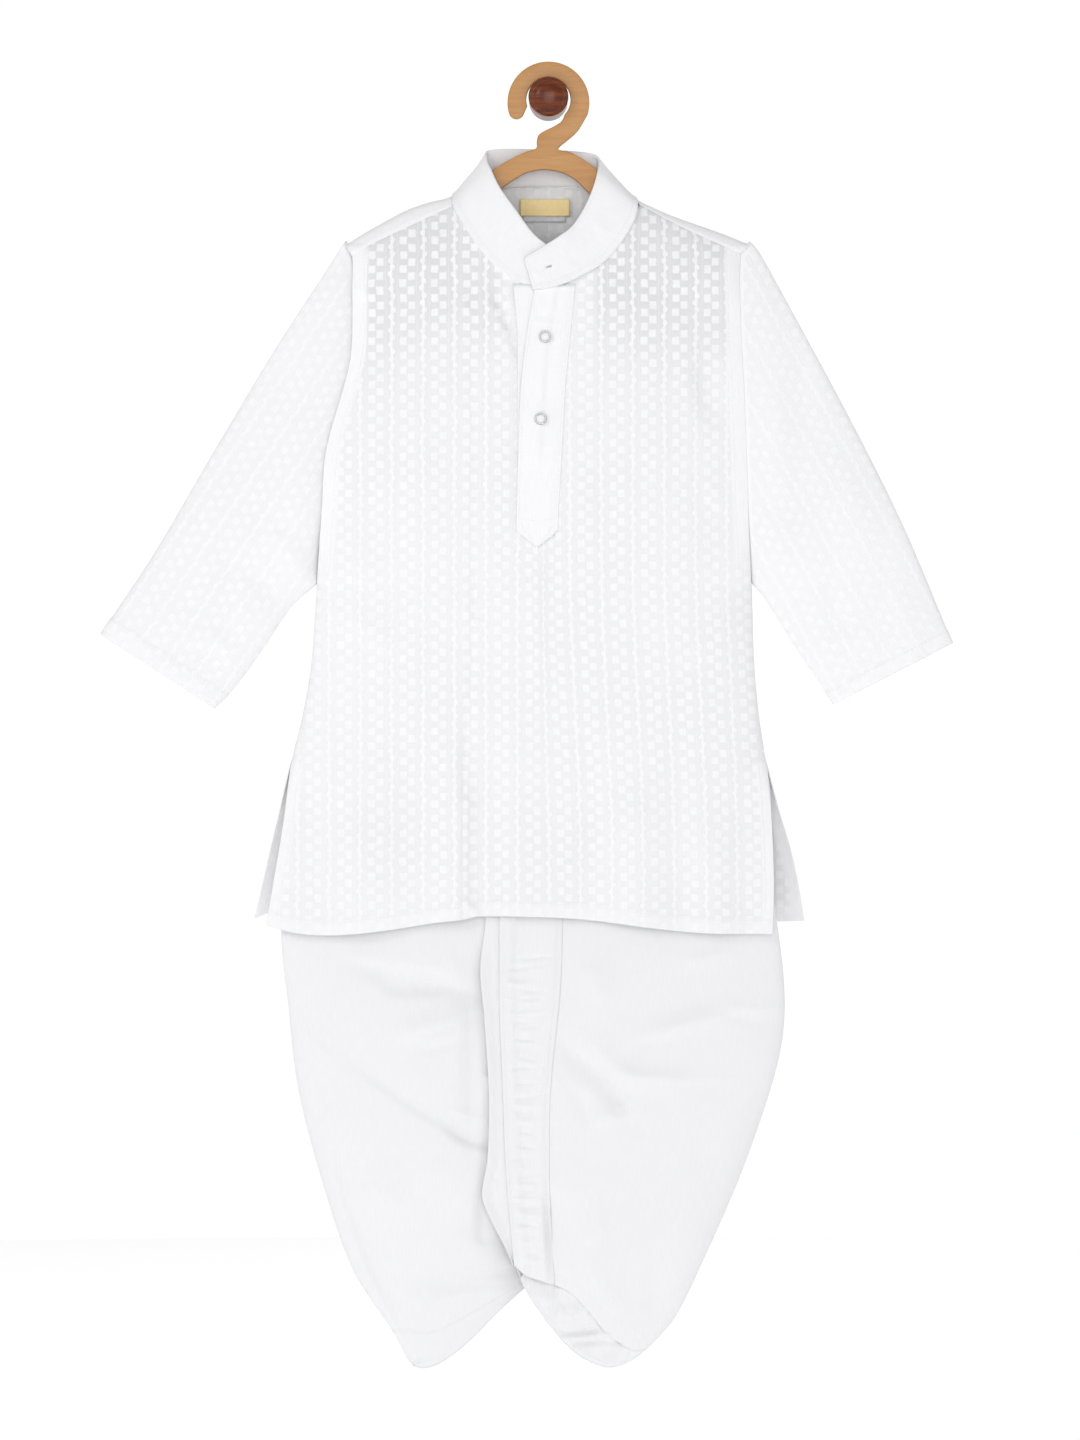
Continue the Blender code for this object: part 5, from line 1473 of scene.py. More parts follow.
def leg_rise(seed, faced):
    """Relief of a leg: its creases, its swell, and a faced or a turned hem."""

    def rise(x, z, u, v):
        """Height at an array of places."""
        turned = np.abs(np.sin((2 * u - 1) * np.pi / 2)) ** 0.7
        before = crease_heights(LEG_CREASES, x, z)
        behind = crease_heights(LEG_BACK_CREASES, x, z)
        total = np.where(u < 0.5, before, behind) * turned
        total += ripple(x, z, 40, 60, 0.8, seed) * turned
        gathers = 1.3 * np.sin(math.tau * LEG_GATHERS * u + 2 * np.sin(9 * u))
        total += gathers * turned * (1 - smooth_steps(v / 0.3))
        if faced:
            line_x, line_z = column_of(DHOTI_HEM_LEFT_ROW, "x"), column_of(DHOTI_HEM_LEFT_ROW, "z")
            under = np.interp(x, line_x, line_z) - z
            total += FOLD_OVER * smooth_steps((under + 0.6) / 1.2) * (v > 0.9)
        else:
            total += turned_edge((1 - v) * HEM_SPAN, LEG_HEM) * (v > 0.9)
        return total

    return rise


def sewn_down(place, rows, sheet):
    """The same place, with the strip's right edge laid on the sheet below it."""
    top, end = rows[0].z, rows[-1].z
    heights = [lerp(end, top, k / 80) for k in range(81)]
    seats = []
    for z in reversed(heights):
        edge = along(rows, "z", "right", z)
        below = seen_place(sheet, edge - 1, z)
        last = seats[-1] if seats else place(edge, z).y
        seats.append(below[0].y if below and abs(below[0].y - last) < SEWN_STEP else last)
    seats.reverse()

    def sewn(x, z):
        """One point of the strip."""
        point = place(x, z)
        near = 1 - ease((along(rows, "z", "right", z) - x) / 7)
        point.y = lerp(point.y, float(np.interp(z, heights, seats)) - 0.15, near)
        return point

    return sewn


def pucker_rows(count, start, end, strip, seed, height):
    """Short uneven ridges across a strip, worked out down its length."""
    draw = random.Random(seed)
    rows = []
    for k in range(count):
        z = lerp(start, end, (k + draw.uniform(0.15, 0.85)) / count)
        left, right = strip_edges(strip, z)
        a = lerp(left, right, draw.uniform(0, 0.3))
        b = lerp(left, right, draw.uniform(0.5, 0.82))
        tall = height * draw.uniform(0.4, 1) * (1 if k % 2 else -1)
        rows.append(Crease(
            a, z, b, z + draw.uniform(-3.5, 3.5), draw.uniform(0.9, 1.9), draw.uniform(0.9, 2.4),
            tall, draw.uniform(-1, 1), 0.3,
        ))
    return rows


def band_place(x, z):
    """Where the front border lies, over the flap at its left edge."""
    over = 1 - ease((x - strip_edges(FRONT_BAND, z)[0] - 7) / 6)
    point = centre_place(x, centre_share(z))
    point.y -= SEAM + TRIM_WALL + (TRIM_WALL + SEAM) * over
    return point


def flap_place(x, z):
    """Where the pleat flap lies, its free edge standing off the leg."""
    left_edge = strip_edges(PLEAT_FLAP, z)[0]
    shown = strip_edges(FRONT_BAND, z)[0] - left_edge
    curl = 1 - ease((x - left_edge) / min(8, 0.8 * shown))
    point = centre_place(x, centre_share(z))
    point.y -= SEAM + TRIM_WALL + FLAP_LIFT * curl * ease((FLAP_FREE_Z - z) / 60)
    return point


def border_surface(u, v):
    """Outside of the right leg's border, which starts behind the leg's lower edge."""
    right = leg_maker(LEG_RIGHT, HEM_RIGHT, 1)
    c = lerp(BORDER_FROM, BORDER_TO, u)
    phi = math.acos(1 - c)
    start = right(0.5 - phi / math.pi, 1)
    tuck = right(0.5 - phi / math.pi, BORDER_TUCK)
    x = lerp(tuck.x, along(HEM_RIGHT, "c", "back_x", c), v)
    z = lerp(tuck.z, along(HEM_RIGHT, "c", "back_z", c), v)
    y = lerp(tuck.y, start.y, min(v * 3, 1)) + (WALL + 2 * SEAM) * (1 + c ** 4)
    return Vector((x, y, z))


def waist_surface(u, v):
    """Outside of the elastic waistband."""
    angle = math.tau * u
    wide = math.copysign(abs(math.cos(angle)) ** 0.9, math.cos(angle))
    out = math.copysign(abs(math.sin(angle)) ** LEG_POWER, math.sin(angle))
    x = CENTRE_X + 1 + WAIST_HALF * wide
    return Vector((x, MID_Y - WAIST_HALF_DEPTH * out, WAIST_TOP_Z - WAIST_HEIGHT * v))


def make_legs():
    """Two legs of the dhoti."""
    sides = (
        ("left", LEG_LEFT, HEM_LEFT, -1, 41),
        ("right", LEG_RIGHT, HEM_RIGHT, 1, 57),
    )
    for word, rows, hem, side, seed in sides:
        piece = make_sheet(
            f"dhoti_leg_{word}_cloth", leg_maker(rows, hem, side), -side,
            shares(150, (0, 0.02, 6), (0.46, 0.54, 16)), shares(170, (0.94, 1, 20)),
            leg_rise(seed, side < 0), on_front, "dhoti", "dhoti_cotton", [f"dhoti_leg_{word}"],
        )


def make_waistband():
    """Gathered elastic waistband."""

    def rise(x, z, u, v):
        """Gathers, deepest halfway up."""
        wobble = 2.2 * np.sin(5 * np.pi * u) + 1.6 * np.sin(math.tau * 7 * u)
        wave = np.sin(math.tau * WAIST_GATHERS * u + wobble)
        return 0.7 * wave * (0.45 + 0.55 * np.sin(np.pi * v)) - 0.5

    piece = make_sheet(
        "dhoti_waistband_cloth", waist_surface, 1, shares(520), shares(14), rise, on_front,
        "dhoti", "dhoti_cotton", ["dhoti_waistband"], closed=True, thick=BAND_SHELL,
    )


def make_borders():
    """Front border, pleat flap beside it and the border round the right hem."""
    puckers = pucker_rows(PUCKERS, PUCKER_FROM, PUCKER_TO, FRONT_BAND, 5, 1.15)
    place = sewn_down(band_place, FRONT_BAND, "dhoti_leg_right_cloth")
    band = make_sheet(
        "dhoti_front_border", strip_maker(FRONT_BAND, place), -1, shares(32), shares(380),
        strip_rise(puckers, 34), on_front, "dhoti", "dhoti_cotton",
        ["dhoti_front_band"], thick=TRIM_SHELL,
    )
    creases = pucker_rows(FLAP_PUCKERS, PUCKER_FROM, FLAP_TO, PLEAT_FLAP, 11, 0.4)
    flap = make_sheet(
        "dhoti_pleat_cloth", strip_maker(PLEAT_FLAP, flap_place), -1, shares(20), shares(200),
        strip_rise(creases, 14), on_front, "dhoti", "dhoti_cotton",
        ["dhoti_pleat_flap"], thick=TRIM_SHELL,
    )

    def rise(x, z, u, v):
        """Uneven puckers across the border, and its turned edge."""
        wave = np.sin(math.tau * BORDER_PUCKERS * u + 5 * np.sin(7 * u) + 2.5 * v)
        uneven = 0.55 * wave * (0.4 + 0.6 * np.sin(9 * u) ** 2) + ripple(x, z, 11, 9, 1.3, 71)
        uneven *= smooth_steps(u / 0.35) * smooth_steps((1 - u) / 0.1)
        uneven += crease_heights(BORDER_CREASES, x, z) * smooth_steps((1 - v) / 0.08)
        return (uneven + 0.3 * np.exp(-(((1 - v) / 0.12) ** 2))) * smooth_steps(v / 0.25)

    border = make_sheet(
        "dhoti_hem_border", border_surface, -1, shares(150), shares(20), rise, on_front,
        "dhoti", "dhoti_cotton", ["dhoti_hem_right"], thick=TRIM_SHELL,
    )


def arc(centre_x, centre_z, radius, start, end, steps):
    """Points of an arc, its angles in degrees from +X towards +Z."""
    points = []
    for i in range(steps + 1):
        angle = math.radians(lerp(start, end, i / steps))
        points.append((centre_x + radius * math.cos(angle), centre_z + radius * math.sin(angle)))
    return points


def rounded_run(points):
    """The same run of points with softly curved stretches between them."""
    finer = []
    last = len(points) - 1
    for i in range(last):
        before, a = points[max(i - 1, 0)], points[i]
        b, after = points[i + 1], points[min(i + 2, last)]
        for k in range(HANGER_STEPS):
            t = k / HANGER_STEPS
            spot = []
            for p, q, r, s in zip(before, a, b, after):
                spot.append(0.5 * (
                    2 * q + (r - p) * t + (2 * p - 5 * q + 4 * r - s) * t ** 2
                    + (3 * q - p - 3 * r + s) * t ** 3
                ))
            finer.append(tuple(spot))
    finer.append(tuple(points[-1]))
    return finer


def arm_edges(side):
    """Upper and lower edge of one arm where the shoulder lies on it."""
    upper = []
    lower = []
    for station in ARM_STATIONS:
        x = side * station
        top = ridge(x) - HANGER_DROP
        upper.append((x, top))
        lower.append((x, top - ARM_DEPTH))
    return upper, lower


def hanger_outline():
    """Outline of the board, clockwise from the hook's back."""
    left_top, left_low = arm_edges(-1)
    right_top, right_low = arm_edges(1)
    hook = arc(0, HOOK_OUTER_Z, HOOK_OUTER_R, 190, -16, 72)
    right_side = [hook[-1], *STEM_RIGHT, *ARM_RIGHT_TOP, *right_top]
    right_end = (ARM_TIP_X, right_top[-1][1] - 4.5), (ARM_TIP_X - 0.6, right_top[-1][1] - 9)
    low_side = [*right_low[::-1], *CROTCH, *left_low]
    left_end = (-ARM_TIP_X + 0.6, left_top[-1][1] - 9), (-ARM_TIP_X, left_top[-1][1] - 4.5)
    left_side = [*left_top[::-1], *ARM_LEFT_TOP[::-1], *STEM_LEFT]
    inner = arc(0, HOOK_INNER_Z, HOOK_INNER_R, -42, 196, 60)
    tip_x, tip_z, tip_r = HOOK_TIP
    tip = arc(tip_x, tip_z, tip_r, 332, 208, 14)
    left_side.append(inner[0])
    outline = hook[:-1] + rounded_run(right_side)
    outline += list(right_end) + rounded_run(low_side) + list(left_end)
    return outline + rounded_run(left_side) + inner[1:] + tip


def make_hanger():
    """Flat wooden hanger cut from one board, its edges rounded."""
    board = bmesh.new()
    front = MID_Y - HANGER_THICK / 2
    corners = [board.verts.new((x, front, z)) for x, z in hanger_outline()]
    face = board.faces.new(corners)
    grown = bmesh.ops.extrude_face_region(board, geom=[face], use_keep_orig=True)
    moved = [item for item in grown["geom"] if isinstance(item, bmesh.types.BMVert)]
    bmesh.ops.translate(board, vec=(0, HANGER_THICK, 0), verts=moved)
    rims = [edge for edge in board.edges if edge.verts[0].co.y == edge.verts[1].co.y]
    bmesh.ops.bevel(
        board, geom=rims, offset=HANGER_ROUND, offset_type="OFFSET", segments=4,
        profile=0.5, affect="EDGES", material=-1, clamp_overlap=True,
    )
    bmesh.ops.triangulate(board, faces=[face for face in board.faces if len(face.verts) > 4])
    bmesh.ops.recalc_face_normals(board, faces=board.faces[:])
    bmesh.ops.scale(board, vec=(MM, MM, MM), verts=board.verts[:])
    finish_piece("hanger_board", board, "board", "hanger_wood", ["hanger"], 50)


def make_knob():
    """Turned wall knob with a grooved, domed front."""
    corners = [
        (0, 0), (0, KNOB_STEM_R), (39, KNOB_STEM_R), (39.6, KNOB_HEAD_R),
    ]
    domed = [
        (43, KNOB_HEAD_R), (45.4, KNOB_HEAD_R - 0.8), (46.8, KNOB_GROOVE_R + 1.2),
        (47.1, KNOB_GROOVE_R + 0.5), (46.9, KNOB_GROOVE_R), (47.3, KNOB_GROOVE_R - 0.6),
        (48.6, 8), (49.6, 4.6), (50, 0),
    ]
    turned("knob_lacquered", corners + rounded_run(domed), (0, 0, 0), KNOB_TURNS, "knob",
           "knob_wood", ["wall_knob"])


def add_bead(shape, point, way, normal, length, width, height):
    """Long flattened bead, in millimetres, lying along a way on the cloth."""
    run = way.normalized()
    beside = normal.cross(run).normalized()
    up = run.cross(beside)
    turn = Matrix((run, beside, up)).transposed().to_4x4()
    size = Matrix.Diagonal((length * MM, width * MM, height * MM, 1))
    bmesh.ops.create_icosphere(
        shape, subdivisions=1, radius=0.5,
        matrix=Matrix.Translation(point * MM) @ turn @ size,
    )


def add_row(shape, spots, stitch):
    """Stitches along a run of (point, normal) spots."""
    lengths = [0]
    for (a, _), (b, _) in zip(spots, spots[1:]):
        lengths.append(lengths[-1] + (b - a).length)
    count = max(int(lengths[-1] / (stitch.length + stitch.gap)), 1)
    step = lengths[-1] / count
    k = 0
    for i in range(count):
        middle = (i + 0.5) * step
        while k < len(lengths) - 2 and lengths[k + 1] < middle:
            k += 1
        share = (middle - lengths[k]) / max(lengths[k + 1] - lengths[k], 1.0e-6)
        point = spots[k][0].lerp(spots[k + 1][0], share)
        normal = spots[k][1].lerp(spots[k + 1][1], share)
        way = spots[k + 1][0] - spots[k][0]
        add_bead(shape, point, way, normal, stitch.length, stitch.width, stitch.height)


Stitch = namedtuple("Stitch", "length gap width height")


def share_row(sheet, u0, u1, v0, v1, steps=160):
    """Spots of a row given by its shares across and down a sheet."""
    places = [i / steps for i in range(steps + 1)]
    return [place_on(sheet, lerp(u0, u1, t), lerp(v0, v1, t)) for t in places]


def seen_row(sheet, line, front=True, steps=14):
    """Spots of a row given by its places as seen along Y."""
    spots = []
    for a, b in zip(line, line[1:]):
        for k in range(steps):
            spot = seen_place(sheet, lerp(a.x, b.x, k / steps), lerp(a.z, b.z, k / steps), front)
            if spot:
                spots.append(spot)
    return spots


def inner_row(spots):
    """The same row on the border's side that faces the front."""
    return [
        (point - normal * 0.9, -normal) if normal.y > 0 else (point, normal)
        for point, normal in spots
    ]


def edge_row(sheet, distance, left, z_from, z_to):
    """Spots of a row that keeps a distance from the left or right edge of a body panel."""
    across, down, points, normals = SHEETS[sheet]
    spots = []
    for j in range(len(down)):
        row = points[j]
        if not z_to <= row[0 if left else -1][2] <= z_from:
            continue
        x = row[0][0] + distance if left else row[-1][0] - distance
        xs = row[:, 0]
        i = min(max(int(np.searchsorted(xs, x)), 1), len(across) - 1)
        t = (x - xs[i - 1]) / (xs[i] - xs[i - 1])
        point = Vector(row[i - 1]).lerp(Vector(row[i]), t)
        spots.append((point, Vector(normals[j][i])))
    return spots


def hem_row(sheet, up, skip=0):
    """Spots of a row that keeps a distance from the lower end of a sheet."""
    across, down, points, normals = SHEETS[sheet]
    last = len(down) - 1
    spots = []
    for i, u in enumerate(across):
        if not skip <= u <= 1 - skip:
            continue
        j = last
        run = 0
        while True:
            step = float(np.linalg.norm(points[j, i] - points[j - 1, i]))
            if run + step >= up:
                break
            run += step
            j -= 1
        t = (up - run) / step
        point = Vector(points[j, i]).lerp(Vector(points[j - 1, i]), t)
        spots.append((point, Vector(normals[j, i])))
    return spots


# Rows of stitches: sheet, shares across it and down it, steps
KURTA_RUNS = (
    ("collar_band", 0.008, 0.992, 0.075, 0.075, 300),
    ("collar_band", 0.008, 0.992, 0.925, 0.925, 300),
    ("collar_band", 0.008, 0.008, 0.075, 0.925, 20),
    ("placket_upper_cloth", 0.06, 0.06, 0.01, 0.93),
    ("placket_upper_cloth", 0.94, 0.94, 0.01, 0.93),
    ("placket_upper_cloth", 0.06, 0.94, 0.93, 0.93, 30),
    ("placket_upper_cloth", 0.06, 0.5, 0.94, 0.99, 20),
    ("placket_upper_cloth", 0.94, 0.5, 0.94, 0.99, 20),
    ("placket_under_cloth", 0.10, 0.10, 0.01, 0.99),
    ("kurta_yoke_cloth", 0.01, 0.295, 0.05, 0.05, 60),
    ("kurta_yoke_cloth", 0.705, 0.99, 0.05, 0.05, 60),
)
DHOTI_RUNS = (
    ("dhoti_front_border", 0.07, 0.07, 0, 0.985, 240),
    ("dhoti_front_border", 0.90, 0.90, 0, 0.985, 240),
    ("dhoti_leg_right_cloth", 0.52, 0.98, 0.975, 0.975, 80),
    ("dhoti_waistband_cloth", 0, 1, 0.25, 0.25, 520),
    ("dhoti_waistband_cloth", 0, 1, 0.75, 0.75, 520),
)
BORDER_RUNS = (
    ("dhoti_hem_border", 0.03, 0.97, 0.55, 0.55, 80),
    ("dhoti_hem_border", 0.03, 0.97, 0.90, 0.90, 80),
)


def make_stitching():
    """Top stitching of the kurta and the dhoti, each garment's rows joined."""
    thread = settings().thread
    stitch = Stitch(thread.length / MM, thread.gap / MM, thread.width / MM, thread.height / MM)
    kurta = bmesh.new()
    rows = [
        *(share_row(*run) for run in KURTA_RUNS),
        hem_row("kurta_front_cloth", FRONT_HEM_UP, 0.004),
        hem_row("kurta_back_cloth", FRONT_HEM_UP, 0.004),
        hem_row("sleeve_left_cloth", LEFT_CUFF_HEM - 1),
        hem_row("sleeve_right_cloth", RIGHT_CUFF_HEM - 1),
    ]
    for sheet in ("kurta_front_cloth", "kurta_back_cloth"):
        for left in (True, False):
            rows.append(edge_row(sheet, ARMHOLE_ROW, left, -114, ARMPIT_Z))
            rows.append(edge_row(sheet, SLIT_ROW, left, SLIT_Z, -572))
    for row in rows:
        add_row(kurta, row, stitch)
    start, end = BUTTONHOLE
    edge = Stitch(0.45, 0.02, 1, 0.45)
    for side in (-1, 1):
        line = (
            Line(start.x, start.z + side * BUTTONHOLE_HALF * 1.5),
            Line(end.x, end.z + side * BUTTONHOLE_HALF * 1.5),
        )
        add_row(kurta, seen_row("collar_band", line), edge)
    finish_piece("kurta_stitches", kurta, "thread", "plain_cotton", [])

    dhoti = bmesh.new()
    for row in (
        *(share_row(*run) for run in DHOTI_RUNS),
        seen_row("dhoti_leg_left_cloth", DHOTI_HEM_LEFT_ROW),
        seen_row("dhoti_leg_left_cloth", DHOTI_HEM_LEFT_ROW, front=False),
        *(inner_row(share_row(*run)) for run in BORDER_RUNS),
    ):
        add_row(dhoti, row, stitch)
    finish_piece("dhoti_stitches", dhoti, "thread", "dhoti_cotton", [])


def look_at(thing, target):
    """Turns an object's -Z towards a point."""
    way = Vector(target) - thing.location
    thing.rotation_euler = way.to_track_quat("-Z", "Y").to_euler()


LIT_PLACE = (0, -0.03, -0.42)    # middle of the garment, in metres


def make_stage():
    """Pale floor, near-white surroundings, soft lights and the camera."""
    stage = settings().stage
    floor_shape = bmesh.new()
    bmesh.ops.create_circle(floor_shape, cap_ends=True, segments=96, radius=stage.floor_radius)
    bmesh.ops.translate(floor_shape, vec=(0, 0, stage.floor_height), verts=floor_shape.verts[:])
    mesh = bpy.data.meshes.new("floor")
    floor_shape.to_mesh(mesh)
    floor_shape.free()
    floor_look = FinishMaker("floor_paint", 0.9, Emission_Strength=0.33)
    floor_look.shader.inputs["Emission Color"].default_value = WHITE
    cloudy = floor_look.cloud(floor_look.place(), 3)
    floor_look.colour(floor_look.blend(cloudy, opaque((0.955,) * 3), opaque((0.965,) * 3)))
    mesh.materials.append(floor_look.material)
    put_in("floor", mesh)

    world = bpy.data.worlds.new("studio")
    world.use_nodes = True
    maker = NodeMaker(world.node_tree)
    height = maker.parted(maker.add("ShaderNodeTexCoord").outputs["Generated"])[2]
    ramp = maker.soft(height, -1, 1, 0.38, 0.58, way="LINEAR")
    band = maker.soft(maker.sum("ABSOLUTE", height), 0.16, 0.34, 0.55, 0)
    strength = maker.sum("MULTIPLY", maker.sum("ADD", ramp, band), stage.world_strength)
    background = world.node_tree.nodes["Background"]
    maker.feed(background.inputs["Strength"], strength)
    background.inputs["Color"].default_value = WHITE

    for name, place, size, power in (
        ("key", (-2.7, -2.9, 1.3), 1.2, stage.key_power),
        ("fill", (0.2, -4.2, 0.15), 1.8, stage.fill_power),
        ("rim", (0.9, 2.2, 0.9), 1.2, stage.rim_power),
    ):
        data = bpy.data.lights.new(name, "AREA")
        data.size = size
        data.energy = power
        lamp = put_in(name, data)
        lamp.location = place
        look_at(lamp, LIT_PLACE)

    view = bpy.data.cameras.new("view")
    camera = put_in("view", view)
    camera.location = (stage.centre_x, -stage.distance, stage.centre_z)
    look_at(camera, (stage.centre_x, 0, stage.centre_z))
    view.sensor_width = 36
    reach = stage.distance - stage.picture_plane
    view.lens = view.sensor_width * reach / stage.picture_height
    view.clip_end = 60
    scene = bpy.context.scene
    scene.world = world
    scene.camera = camera
    scene.view_settings.view_transform = "Standard"
    scene.view_settings.look = "None"


def settings():
    """The sizes and colours that a user may change."""
    return bpy.context.scene.kurta_set


class DobbySettings(bpy.types.PropertyGroup):
    """Sizes and colours of the kurta's woven figure."""

    repeat: FloatProperty(
        name="Repeat", description="Width from one chain column to the next",
        default=0.022, unit="LENGTH", precision=4)
    chain_pitch: FloatProperty(
        name="Chain pitch", description="Height of one link of the chain column",
        default=0.0049, unit="LENGTH", precision=4)
    square_pitch: FloatProperty(
        name="Square pitch", description="Height from one square to the next in its column",
        default=0.0101, unit="LENGTH", precision=4)
    ground: FloatVectorProperty(
        name="Ground", description="Colour between the raised threads",
        subtype="COLOR", default=(0.77, 0.77, 0.785), min=0, max=1)
    # Painted shade: a greyer ground near the shoulders, for the darker layers seen through the sheer
    # cloth.
    shoulder_shade_ground: FloatVectorProperty(
        name="Shoulder ground", description="The same near the shoulders, where it is sheerer",
        subtype="COLOR", default=(0.655, 0.655, 0.675), min=0, max=1)


class ThreadSettings(bpy.types.PropertyGroup):
    """Sizes of one top stitch."""

    length: FloatProperty(
        name="Length", description="Length of a stitch", default=0.0021, unit="LENGTH", precision=4)
    gap: FloatProperty(
        name="Gap", description="Space between two stitches", default=0.0007, unit="LENGTH",
        precision=4)
    width: FloatProperty(
        name="Width", description="Width of the thread", default=0.0004, unit="LENGTH", precision=5)
    height: FloatProperty(
        name="Height", description="Thickness of the thread", default=0.0004, unit="LENGTH",
        precision=5)


class WoodSettings(bpy.types.PropertyGroup):
    """Colours of the hanger and the knob."""

    board: FloatVectorProperty(
        name="Board", description="Darker grain of the hanger's face", subtype="COLOR",
        default=(0.405, 0.178, 0.036), min=0, max=1)
    board_light: FloatVectorProperty(
        name="Board light", description="Lighter grain of the hanger's face", subtype="COLOR",
        default=(0.47, 0.225, 0.052), min=0, max=1)
    board_edge: FloatVectorProperty(
        name="Board edge", description="Dark layers of the hanger's cut edge", subtype="COLOR",
        default=(0.33, 0.155, 0.055), min=0, max=1)
    ply: FloatProperty(
        name="Ply", description="Thickness of two layers of the board", default=0.0027,
        unit="LENGTH", precision=4)
    knob: FloatVectorProperty(
        name="Knob", description="Dark wood of the knob", subtype="COLOR",
        default=(0.085, 0.014, 0.002), min=0, max=1)
    knob_light: FloatVectorProperty(
        name="Knob light", description="Lighter grain of the knob", subtype="COLOR",
        default=(0.19, 0.038, 0.004), min=0, max=1)


class StageSettings(bpy.types.PropertyGroup):
    """Camera, floor and lights."""

    centre_x: FloatProperty(
        name="Centre X", description="Middle of the picture, to the right of the knob",
        default=-0.0059, unit="LENGTH", precision=4)
    centre_z: FloatProperty(
        name="Centre Z", description="Middle of the picture's height", default=-0.4364,
        unit="LENGTH", precision=4)
    picture_height: FloatProperty(
        name="Picture height", description="Height of the picture at the garment", default=1.008,
        unit="LENGTH", precision=4)
    picture_plane: FloatProperty(
        name="Picture plane", description="Distance from the wall at which that height holds",
        default=0.042, unit="LENGTH", precision=4)
    distance: FloatProperty(
        name="Distance", description="Distance of the camera from the wall", default=5,
        unit="LENGTH")
    floor_height: FloatProperty(
        name="Floor", description="Height of the floor", default=-0.99, unit="LENGTH")
    floor_radius: FloatProperty(
        name="Floor radius", description="Radius of the floor", default=2.6, unit="LENGTH")
    world_strength: FloatProperty(
        name="Surroundings", description="Strength of the white surroundings", default=1)
    key_power: FloatProperty(
        name="Key", description="Light from the upper left", default=26, unit="POWER")
    fill_power: FloatProperty(
        name="Fill", description="Light from the front", default=35, unit="POWER")
    rim_power: FloatProperty(
        name="Rim", description="Light from behind", default=8, unit="POWER")


class KurtaSettings(bpy.types.PropertyGroup):
    """Cloth and the groups of the other settings."""

    shell: FloatProperty(
        name="Shell", description="Thickness of the cloth's shell", default=0.0010, unit="LENGTH",
        precision=4)
    cloth_roughness: FloatProperty(
        name="Cloth roughness", description="Roughness of the cotton", default=0.85, min=0,
        max=1, subtype="FACTOR")
    white: FloatVectorProperty(
        name="White", description="Colour of the kurta's cotton", subtype="COLOR",
        default=(0.85, 0.85, 0.862), min=0, max=1)
    dhoti_white: FloatVectorProperty(
        name="Dhoti white", description="Colour of the dhoti's cotton", subtype="COLOR",
        default=(0.797, 0.797, 0.813), min=0, max=1)
    dobby: PointerProperty(type=DobbySettings)
    thread: PointerProperty(type=ThreadSettings)
    wood: PointerProperty(type=WoodSettings)
    stage: PointerProperty(type=StageSettings)


class BuildStep(bpy.types.Operator):
    """Shared way in which each group of pieces is built"""

    bl_options = {"UNDO"}
    builders = ()

    def execute(self, context):
        """Builds the group's pieces."""
        for builder in self.builders:
            builder()
        return {"FINISHED"}


class GARMENT_OT_hanger(BuildStep):
    """Wooden hanger and the wall knob that carries it"""

    bl_idname = "garment.hanger"
    bl_label = "Hanger and knob"
    builders = (make_hanger, make_knob)


class GARMENT_OT_body(BuildStep):
    """Front, back and yoke of the kurta"""

    bl_idname = "garment.body"
    bl_label = "Kurta body"
    builders = (make_body,)


class GARMENT_OT_sleeves(BuildStep):
    """Left and right sleeve of the kurta"""

    bl_idname = "garment.sleeves"
    bl_label = "Sleeves"
    builders = (make_sleeves,)


class GARMENT_OT_collar(BuildStep):
    """Band collar with its buttonhole"""

    bl_idname = "garment.collar"
    bl_label = "Collar"
    builders = (make_collar,)


class GARMENT_OT_placket(BuildStep):
    """Placket strips and ring snaps"""

    bl_idname = "garment.placket"
    bl_label = "Placket"
    builders = (make_placket,)


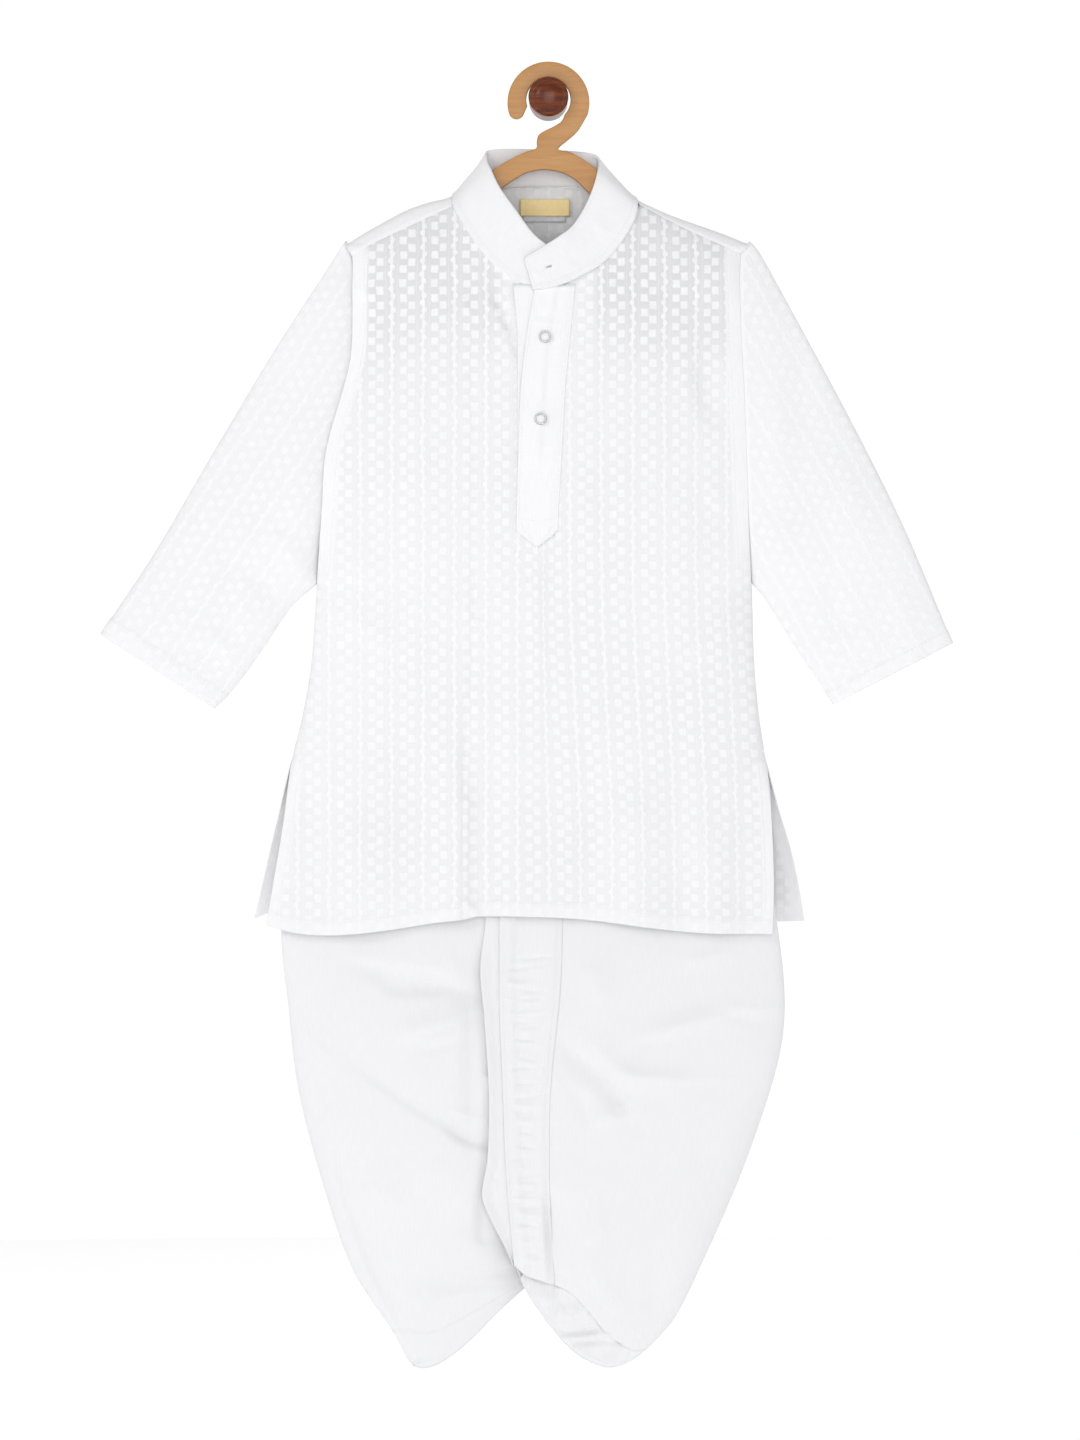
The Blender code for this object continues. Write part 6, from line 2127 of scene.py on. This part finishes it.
class GARMENT_OT_labels(BuildStep):
    """Blank labels inside the back neck"""

    bl_idname = "garment.labels"
    bl_label = "Labels"
    builders = (make_labels,)


class GARMENT_OT_dhoti(BuildStep):
    """Legs, waistband and borders of the dhoti"""

    bl_idname = "garment.dhoti"
    bl_label = "Dhoti"
    builders = (make_legs, make_waistband, make_borders)


class GARMENT_OT_stitching(BuildStep):
    """Top stitching of both garments"""

    bl_idname = "garment.stitching"
    bl_label = "Stitching"
    builders = (make_stitching,)


class GARMENT_OT_stage(BuildStep):
    """Floor, surroundings, lights and camera"""

    bl_idname = "garment.stage"
    bl_label = "Stage"
    builders = (make_stage,)


OPERATORS = (
    GARMENT_OT_hanger, GARMENT_OT_body, GARMENT_OT_sleeves, GARMENT_OT_collar,
    GARMENT_OT_placket, GARMENT_OT_labels, GARMENT_OT_dhoti, GARMENT_OT_stitching,
    GARMENT_OT_stage,
)


class GARMENT_PT_panel(bpy.types.Panel):
    """Lists the groups of pieces and their settings"""

    bl_idname = "GARMENT_PT_panel"
    bl_label = "Kurta and dhoti"
    bl_space_type = "VIEW_3D"
    bl_region_type = "UI"
    bl_category = "Garment"

    def draw(self, context):
        """Draws the settings and a button for each group."""
        look = context.scene.kurta_set
        for group in (look, look.dobby, look.thread, look.wood, look.stage):
            for name in group.__annotations__:
                if not isinstance(getattr(group, name), bpy.types.PropertyGroup):
                    self.layout.prop(group, name)
        for operator in OPERATORS:
            self.layout.operator(operator.bl_idname)


CLASSES = (
    DobbySettings, ThreadSettings, WoodSettings, StageSettings, KurtaSettings, *OPERATORS,
    GARMENT_PT_panel,
)


def register():
    """Registers the classes and the scene's settings."""
    for item in CLASSES:
        bpy.utils.register_class(item)
    bpy.types.Scene.kurta_set = PointerProperty(type=KurtaSettings)


def unregister():
    """Takes them out again."""
    del bpy.types.Scene.kurta_set
    for item in reversed(CLASSES):
        bpy.utils.unregister_class(item)


def main():
    """Builds every group in order."""
    register()
    for operator in OPERATORS:
        group, name = operator.bl_idname.split(".")
        getattr(getattr(bpy.ops, group), name)()


if __name__ == "__main__":
    main()
